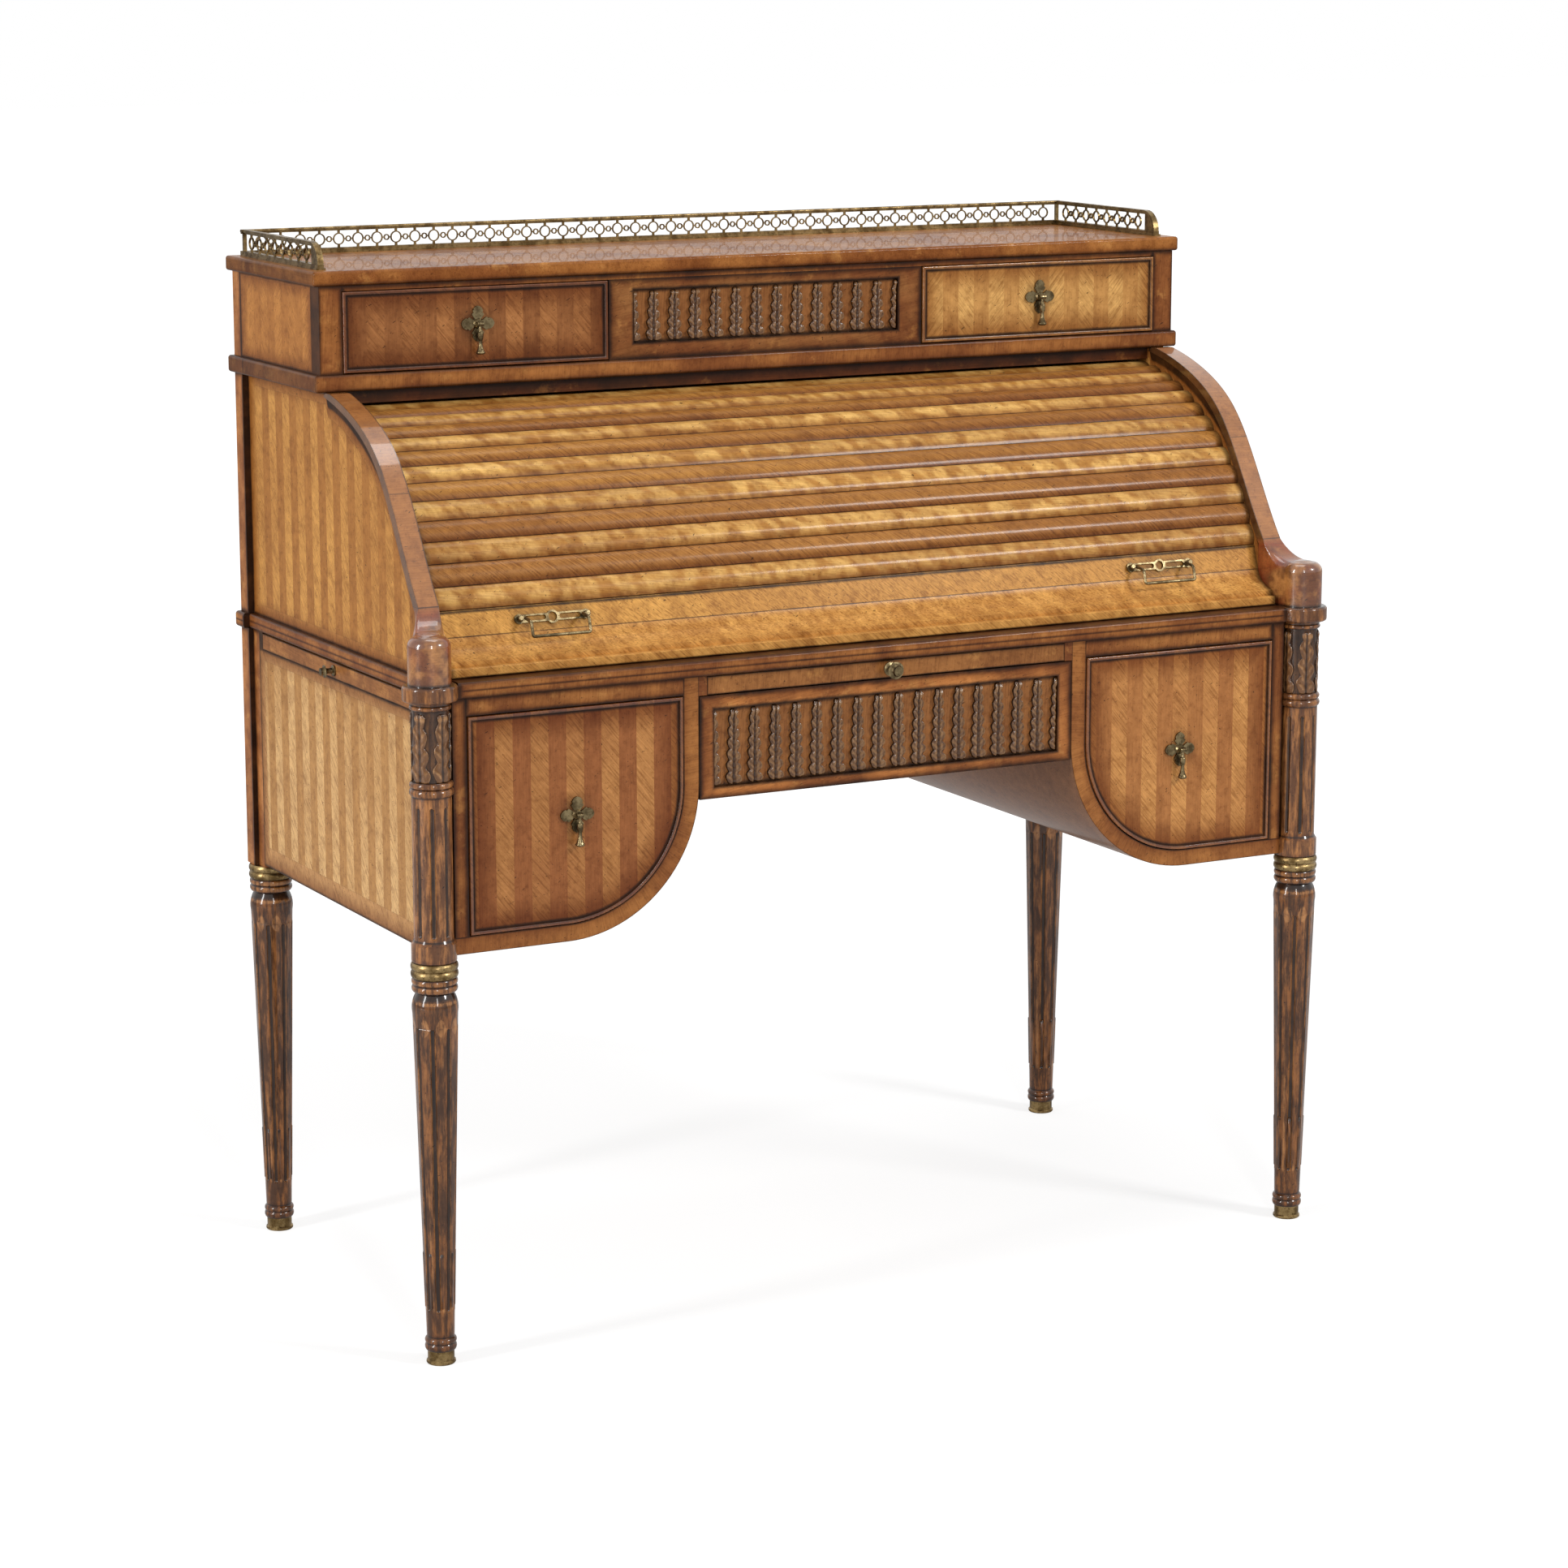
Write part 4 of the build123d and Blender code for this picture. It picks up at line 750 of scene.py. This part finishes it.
def turned_finish(name, surface, colour, wear_and_highlight, lines):
    """Stained turning with painted shade in its flutes and edges lightened by wear; surface gives
    the unfluted radius.
    """
    f = Finish(name)
    radius, turn = leg_depth(f)
    sunk = surface(f) - radius
    edge = sunk.rise(0.0002, 0.0004) * sunk.rise(0.0009, 0.0013, 1.0, 0.0)
    patch = f.noise(f.join(f.x * 160, f.y * 160, f.z * 26), 1.0, 4.0, 0.65)
    base = f.mix(patch.rise(0.42, 0.66), colour, wear_and_highlight)
    base = f.mix(edge * patch.rise(0.36, 0.60), base, tone(160, 110, 64))
    # Dirt in the ring grooves, and painted shade deepening into the flutes.
    dirt = dirt_of(f, lines).most(sunk.rise(0.0008, 0.0022, 0.0, 0.85))
    pattern = grain(f, f.z, turn * 0.022, radius, 2)
    shade, height = patina(f, base, pattern, dirt, dirt_of(f, lines, 3.0, 0.6), 1.3, 0.4)
    return f.done(shade, 0.34, height, **HIGH_POLISH)


LEG_BROWN = tone(70, 42, 22)
LEG_WORN = tone(134, 84, 42)


def leg_radius(height):
    """A leg's unfluted radius; the height may be a number or a wire."""
    return LEG_FOOT[1] + (height - LEG_FOOT[0]) * LEG_TAPER


put(turned_finish("leg wood", lambda f: leg_radius(f.z), LEG_BROWN, LEG_WORN,
                  [("z", *ring) for ring in LEG_RINGS]), "legs")
put(turned_finish("column wood", lambda f: f.x * 0.0 + COLUMN_RADIUS, tone(92, 56, 30),
                  tone(160, 106, 58), [
    *(("z", *ring) for ring in COLUMN_RINGS),
    ("z", desk_low, 0.0015, 0.8), ("z", desk_high, 0.0015, 0.7)]), "front_columns")


def carved_finish(name, dark, middle, light, level, deep, shallow):
    """Carving: painted shade dark in the hollows, grey-brown on its sides, and a pale painted
    highlight where it stands proud.
    """
    f = Finish(name)
    smudge = f.noise(f.place, 160.0, 3.0)
    # How proud a point stands, which sets its painted shade and painted highlight.
    wear_and_highlight = level(f).rise(deep, shallow) + (smudge - 0.5) * 0.5
    colour = f.mix(wear_and_highlight.rise(0.05, 0.55), dark, middle)
    colour = f.mix(wear_and_highlight.rise(0.72, 1.05), colour, light)
    shade, height = patina(f, colour, grain(f, f.z, f.x, f.y, 2), f.x * 0.0, 0.0, 0.6, 0.25)
    return f.done(shade, 0.30, height, **HIGH_POLISH)


def leaf_relief(u, v, lobes, half_low, half_high, proud):
    """How far a point of a lobed leaf stands across from its middle, and out of the ground.

    u goes from -1 to 1 across the leaf, v from 0 at its foot to 1 at its tip. The leaf is
    half_low and half_high wide on each side of its middle there, and proud is its height."""
    step = (v * lobes + (0.0 if u < 0 else 0.25)) % 1.0
    lobe = max(0.0, sin(pi * step ** 1.5)) ** 0.8                # 0 between lobes, 1 on a lobe
    tip = max(0.0, (v - 0.92) / 0.08)
    close = sqrt(max(0.0, 1.0 - tip * tip))                      # rounds the tip off
    half = (half_low + (half_high - half_low) * v) * (0.58 + 0.42 * lobe) * (0.3 + 0.7 * close)
    reach = abs(u)
    crown = 0.52 + 0.32 * sin(pi * min(1.0, reach * 1.15))       # the swelling of each half
    groove = 0.50 * max(0.0, 1.0 - reach / 0.22)                 # the furrow down the middle
    ribs = 0.13 * sin(2 * pi * (v * lobes * 2.0 - reach * 1.1)) * (1.0 if u < 0 else 0.45)
    rim = 0.50 * lobe * reach ** 5                               # the turned-up edge of a lobe
    curl = 0.35 * max(0.0, 1.0 - abs(v - 0.93) / 0.06)           # the bead under the tip
    rise = proud * min(1.15, max(0.25, crown - groove + ribs * min(1.0, reach * 3) + rim + curl))
    return u * half, rise * (0.35 + 0.65 * close)


def add_leaf(bm, place, columns, rows):
    """One leaf: a grid whose points go where place puts them, with walls down to the ground."""
    made = bmesh.ops.create_grid(bm, x_segments=columns, y_segments=rows, size=1.0)["verts"]
    rim = {edge for vert in made for edge in vert.link_edges if edge.is_boundary}
    wall = bmesh.ops.extrude_edge_only(bm, edges=list(rim))["geom"]
    base = {item for item in wall if isinstance(item, bmesh.types.BMVert)}
    for vert in base | set(made):
        u, v = vert.co.x, (vert.co.y + 1) / 2
        vert.co = place(u, v, vert in base)


def finish_mesh(name, bm, material, body):
    """Turn a bmesh into a smooth-shaded piece that moves with a body."""
    bmesh.ops.remove_doubles(bm, verts=bm.verts, dist=1e-6)
    bmesh.ops.recalc_face_normals(bm, faces=bm.faces)
    mesh = bpy.data.meshes.new(name)
    bm.to_mesh(mesh)
    bm.free()
    for polygon in mesh.polygons:
        polygon.use_smooth = True
    piece = bpy.data.objects.new(name, mesh)
    bpy.context.scene.collection.objects.link(piece)
    mesh.materials.append(material)
    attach(piece, body)


ROW_LEAF = (0.0096, 0.0050, 0.0042)       # half widths at foot and tip, and height
COLUMN_RELIEF = (0.0118, 0.0064, 0.0019)  # the same for a leaf on a column


def carved_row(name, panel, body, pitch, lobes, material):
    """A row of upright lobed leaves on a sunk panel, cut off at both ends of the panel."""
    low, high = (Vector(corner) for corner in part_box(panel))
    ground = low.y
    gap, lift, cut = 0.002, 0.0008, 0.0005
    count = int((high.x - low.x) / pitch) + 2
    bm = bmesh.new()
    for number in range(count):
        middle = (number - (count - 1) / 2) * pitch

        def place(u, v, base):
            across, out = leaf_relief(u, v, lobes, *ROW_LEAF)
            height = low.z + gap + (high.z - low.z - 2 * gap) * v
            return Vector((middle + across, ground if base else ground - out - lift, height))

        add_leaf(bm, place, 12, 60)
    for end, normal in ((low.x + cut, -1), (high.x - cut, 1)):
        bmesh.ops.bisect_plane(bm, geom=bm.verts[:] + bm.edges[:] + bm.faces[:], dist=1e-6,
                               plane_co=(end, 0, 0), plane_no=(normal, 0, 0), clear_outer=True)
        rim = [edge for edge in bm.edges if edge.is_boundary
               and all(abs(vert.co.x - end) < 1e-5 for vert in edge.verts)]
        if rim:
            bmesh.ops.holes_fill(bm, edges=rim, sides=0)
    finish_mesh(name, bm, material, body)


def ground_finish(name, panel):
    """The smooth ground between carved leaves, darkened by painted shade towards the rim of its
    sunk panel.
    """
    f = Finish(name)
    low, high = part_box(panel)
    sides = [high[0] - abs(f.x), f.z - low[2], high[2] - f.z]
    # Painted shade in the corners of the sunk panel.
    dirt = near(inside(sides), 0.006, 0.9)
    shade, height = patina(f, tone(138, 88, 46), grain(f, f.z, f.x, f.y, 3), dirt)
    return f.done(shade, 0.4, height, **POLISH)


PITCHES = {"centre_carved_panel": 0.0263, "knee_carved_panel": 0.0257}
for panel, body, lobes in (("centre_carved_panel", "carcass", 4.5),
                           ("knee_carved_panel", "knee_drawer", 6.5)):
    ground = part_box(panel)[0][1]
    put(ground_finish(panel + " ground", panel), panel)
    # The darkest tone is painted shade for the hollows, the palest a painted highlight on the proud
    # parts.
    carved = carved_finish(panel + " carving", tone(34, 19, 10), tone(86, 55, 30),
                           tone(132, 96, 60), lambda f: ground - f.y, 0.0008, 0.0050)
    carved_row(panel.replace("_panel", "_leaves"), panel, body, PITCHES[panel], lobes, carved)

COLUMN_GROUND = 0.0194            # radius of the ground between the leaves on a column
COLUMN_LEAVES = 5
# The darkest tone is painted shade for the hollows, the palest a painted highlight on the proud
# parts.
column_carving = carved_finish("column carving", tone(44, 26, 14), tone(106, 72, 44),
                               tone(160, 118, 76), lambda f: leg_depth(f)[0],
                               COLUMN_GROUND + 0.0003, COLUMN_GROUND + 0.0022)
bm = bmesh.new()
for hand in (-1, 1):
    for number in range(COLUMN_LEAVES):
        around = radians(-4 + 360 / COLUMN_LEAVES * number)
        middle = around if hand < 0 else pi - around

        def place(u, v, base):
            across, out = leaf_relief(u, v, 3.5, *COLUMN_RELIEF)
            turn = middle + across / COLUMN_GROUND
            radius = COLUMN_GROUND + (0.0 if base else out + 0.0001)
            height = COLUMN_LEAF[0] + (COLUMN_LEAF[1] - COLUMN_LEAF[0]) * v
            return Vector((hand * LEG_SEATS[0][0] + radius * cos(turn),
                           LEG_SEATS[0][1] + radius * sin(turn), height))

        add_leaf(bm, place, 14, 40)
finish_mesh("column_leaves", bm, column_carving, "carcass")

# reeds that fill the lower ends of the legs' flutes
REED_RADIUS = 0.0024
REED_LOW, REED_HIGH = 0.064, 0.124
REED_PROUD = 0.0006               # how far a reed stands out of the leg's surface
FLUTES = 8
FLUTE_FIRST = 14                  # degrees, the first flute of a leg
reed_wood = turned_finish("reed wood", lambda f: leg_radius(f.z), LEG_BROWN, LEG_WORN, [
    ("z", REED_HIGH, 0.004, 0.8)])
bm = bmesh.new()
for hand in (-1, 1):
    for seat in LEG_SEATS:
        for number in range(FLUTES):
            turn = radians(FLUTE_FIRST + 360 / FLUTES * number)
            outward = Vector((hand * cos(turn), sin(turn), 0))
            foot, head = (Vector((hand * seat[0], seat[1], height))
                          + outward * (leg_radius(height) - REED_RADIUS + REED_PROUD)
                          for height in (REED_LOW, REED_HIGH))
            lean = (head - foot).to_track_quat("Z", "Y").to_matrix().to_4x4()
            middle = (foot + head) / 2
            bmesh.ops.create_cone(bm, cap_ends=True, segments=12, radius1=REED_RADIUS,
                                  radius2=REED_RADIUS, depth=(head - foot).length,
                                  matrix=Matrix.Translation(middle) @ lean)
            bmesh.ops.create_uvsphere(bm, u_segments=12, v_segments=8, radius=REED_RADIUS,
                                      matrix=Matrix.Translation(head) @ lean)
finish_mesh("leg_reeds", bm, reed_wood, "carcass")


# ---------------------------------------------------------------- brass
def brass(name, bright, dull, rough):
    """Aged brass, dull in random clouds and dark in spots."""
    f = Finish(name)
    cloud = f.noise(f.place, 90.0, 4.0, 0.6)
    spots = f.noise(f.place, 420.0, 2.0, 0.5)
    colour = f.mix(cloud.rise(0.36, 0.64), dull, bright)
    colour = f.mix(spots.rise(0.60, 0.70, 0.0, 0.7), colour, tone(52, 40, 22))
    return f.done(colour, cloud.rise(0.3, 0.7, rough + 0.14, rough - 0.06), spots, 0.15, 0.0002,
                  Metallic=1.0)


put(brass("gallery brass", tone(140, 118, 80), tone(84, 66, 40), 0.34), "gallery")
put(brass("leg brass", tone(158, 134, 92), tone(96, 76, 46), 0.3), "leg_rings", "leg_ferrules")
put(brass("pull brass", tone(138, 122, 90), tone(78, 66, 46), 0.32),
    "roll_handle_plates", "roll_bail_left", "roll_bail_right", "writing_slide_knob",
    "side_slide_knob_left", "side_slide_knob_right",
    *(f"{row}_pull_{piece}_{side}" for row in ("upper", "lower") for piece in ("plate", "drop")
      for side in ("left", "right")))


# ---------------------------------------------------------------- floor, light and camera
def floor_material():
    """White to the eye, with the desk's shadow on it, and a plain pale grey for other rays."""
    f = Finish("studio floor")
    camera_ray = f.node("ShaderNodeLightPath", output="Is Camera Ray")
    plain = f.node("ShaderNodeBsdfDiffuse", values={"Color": (0.82, 0.82, 0.82, 1)})
    away = (f.x * f.x + f.y * f.y).root()
    glow = f.node("ShaderNodeEmission", values={"Color": (1, 1, 1, 1),
                                                "Strength": away.rise(0.5, 3.5, 0.74, 1.0)})
    shade = f.node("ShaderNodeBsdfDiffuse", values={"Color": (0.36, 0.36, 0.36, 1)})
    both = f.node("ShaderNodeAddShader", values={0: glow, 1: shade})
    seen = f.node("ShaderNodeMixShader", values={0: camera_ray, 1: plain, 2: both})
    f.tree.links.new(seen.socket, f.tree.nodes["Material Output"].inputs["Surface"])
    return f.material


FLOOR_HALF = 30.0
bm = bmesh.new()
bmesh.ops.create_grid(bm, x_segments=1, y_segments=1, size=FLOOR_HALF)
floor_mesh = bpy.data.meshes.new("floor")
bm.to_mesh(floor_mesh)
bm.free()
floor = bpy.data.objects.new("floor", floor_mesh)
bpy.context.scene.collection.objects.link(floor)
floor_mesh.materials.append(floor_material())

world = bpy.data.worlds.new("studio")
bpy.context.scene.world = world
world.use_nodes = True
tree = world.node_tree
tree.nodes.clear()
path = tree.nodes.new("ShaderNodeLightPath")
shown = path.outputs["Is Camera Ray"]
for kind in ("Is Glossy Ray", "Is Transmission Ray"):
    either = tree.nodes.new("ShaderNodeMath")
    either.operation = "MAXIMUM"
    tree.links.new(shown, either.inputs[0])
    tree.links.new(path.outputs[kind], either.inputs[1])
    shown = either.outputs[0]
level = tree.nodes.new("ShaderNodeMapRange")
tree.links.new(shown, level.inputs[0])
level.inputs[3].default_value = 0.36      # strength of the light that the white world gives
level.inputs[4].default_value = 1.0       # and of the background that is seen
sky = tree.nodes.new("ShaderNodeBackground")
sky.inputs["Color"].default_value = (1, 1, 1, 1)
tree.links.new(level.outputs[0], sky.inputs["Strength"])
out = tree.nodes.new("ShaderNodeOutputWorld")
tree.links.new(sky.outputs[0], out.inputs["Surface"])


def soft_light(name, place, aim, size, power):
    """A soft box; size is its width and its height."""
    lamp = bpy.data.lights.new(name, "AREA")
    lamp.shape = "RECTANGLE"
    lamp.size, lamp.size_y = size
    lamp.energy = power
    light = bpy.data.objects.new(name, lamp)
    light.location = place
    light.rotation_euler = (Vector(aim) - Vector(place)).to_track_quat("-Z", "Y").to_euler()
    bpy.context.scene.collection.objects.link(light)


soft_light("key", (2.6, -3.6, 3.2), (0, 0, 0.8), (0.9, 0.9), 108)
soft_light("left", (-4.2, -0.6, 1.8), (0, 0, 0.7), (0.5, 2.6), 100)
soft_light("fill", (-1.4, -4.8, 2.2), (0, 0, 0.6), (0.35, 2.4), 55)
soft_light("top", (0.2, 0.2, 4.2), (0, 0, 0.9), (2.0, 1.6), 34)

CAMERA_PLACE = (-2.2456, -4.2086, 1.5139)
CAMERA_TILT = 0.2027              # radians down from level
CAMERA_TURN = 0.4916              # radians to the right of straight back
camera_data = bpy.data.cameras.new("camera")
camera_data.sensor_width = 36.0
camera_data.lens = 96.0
camera = bpy.data.objects.new("camera", camera_data)
camera.location = CAMERA_PLACE
camera.rotation_euler = (pi / 2 - CAMERA_TILT, 0, -CAMERA_TURN)
bpy.context.scene.collection.objects.link(camera)
bpy.context.scene.camera = camera
bpy.context.scene.view_settings.view_transform = "Standard"
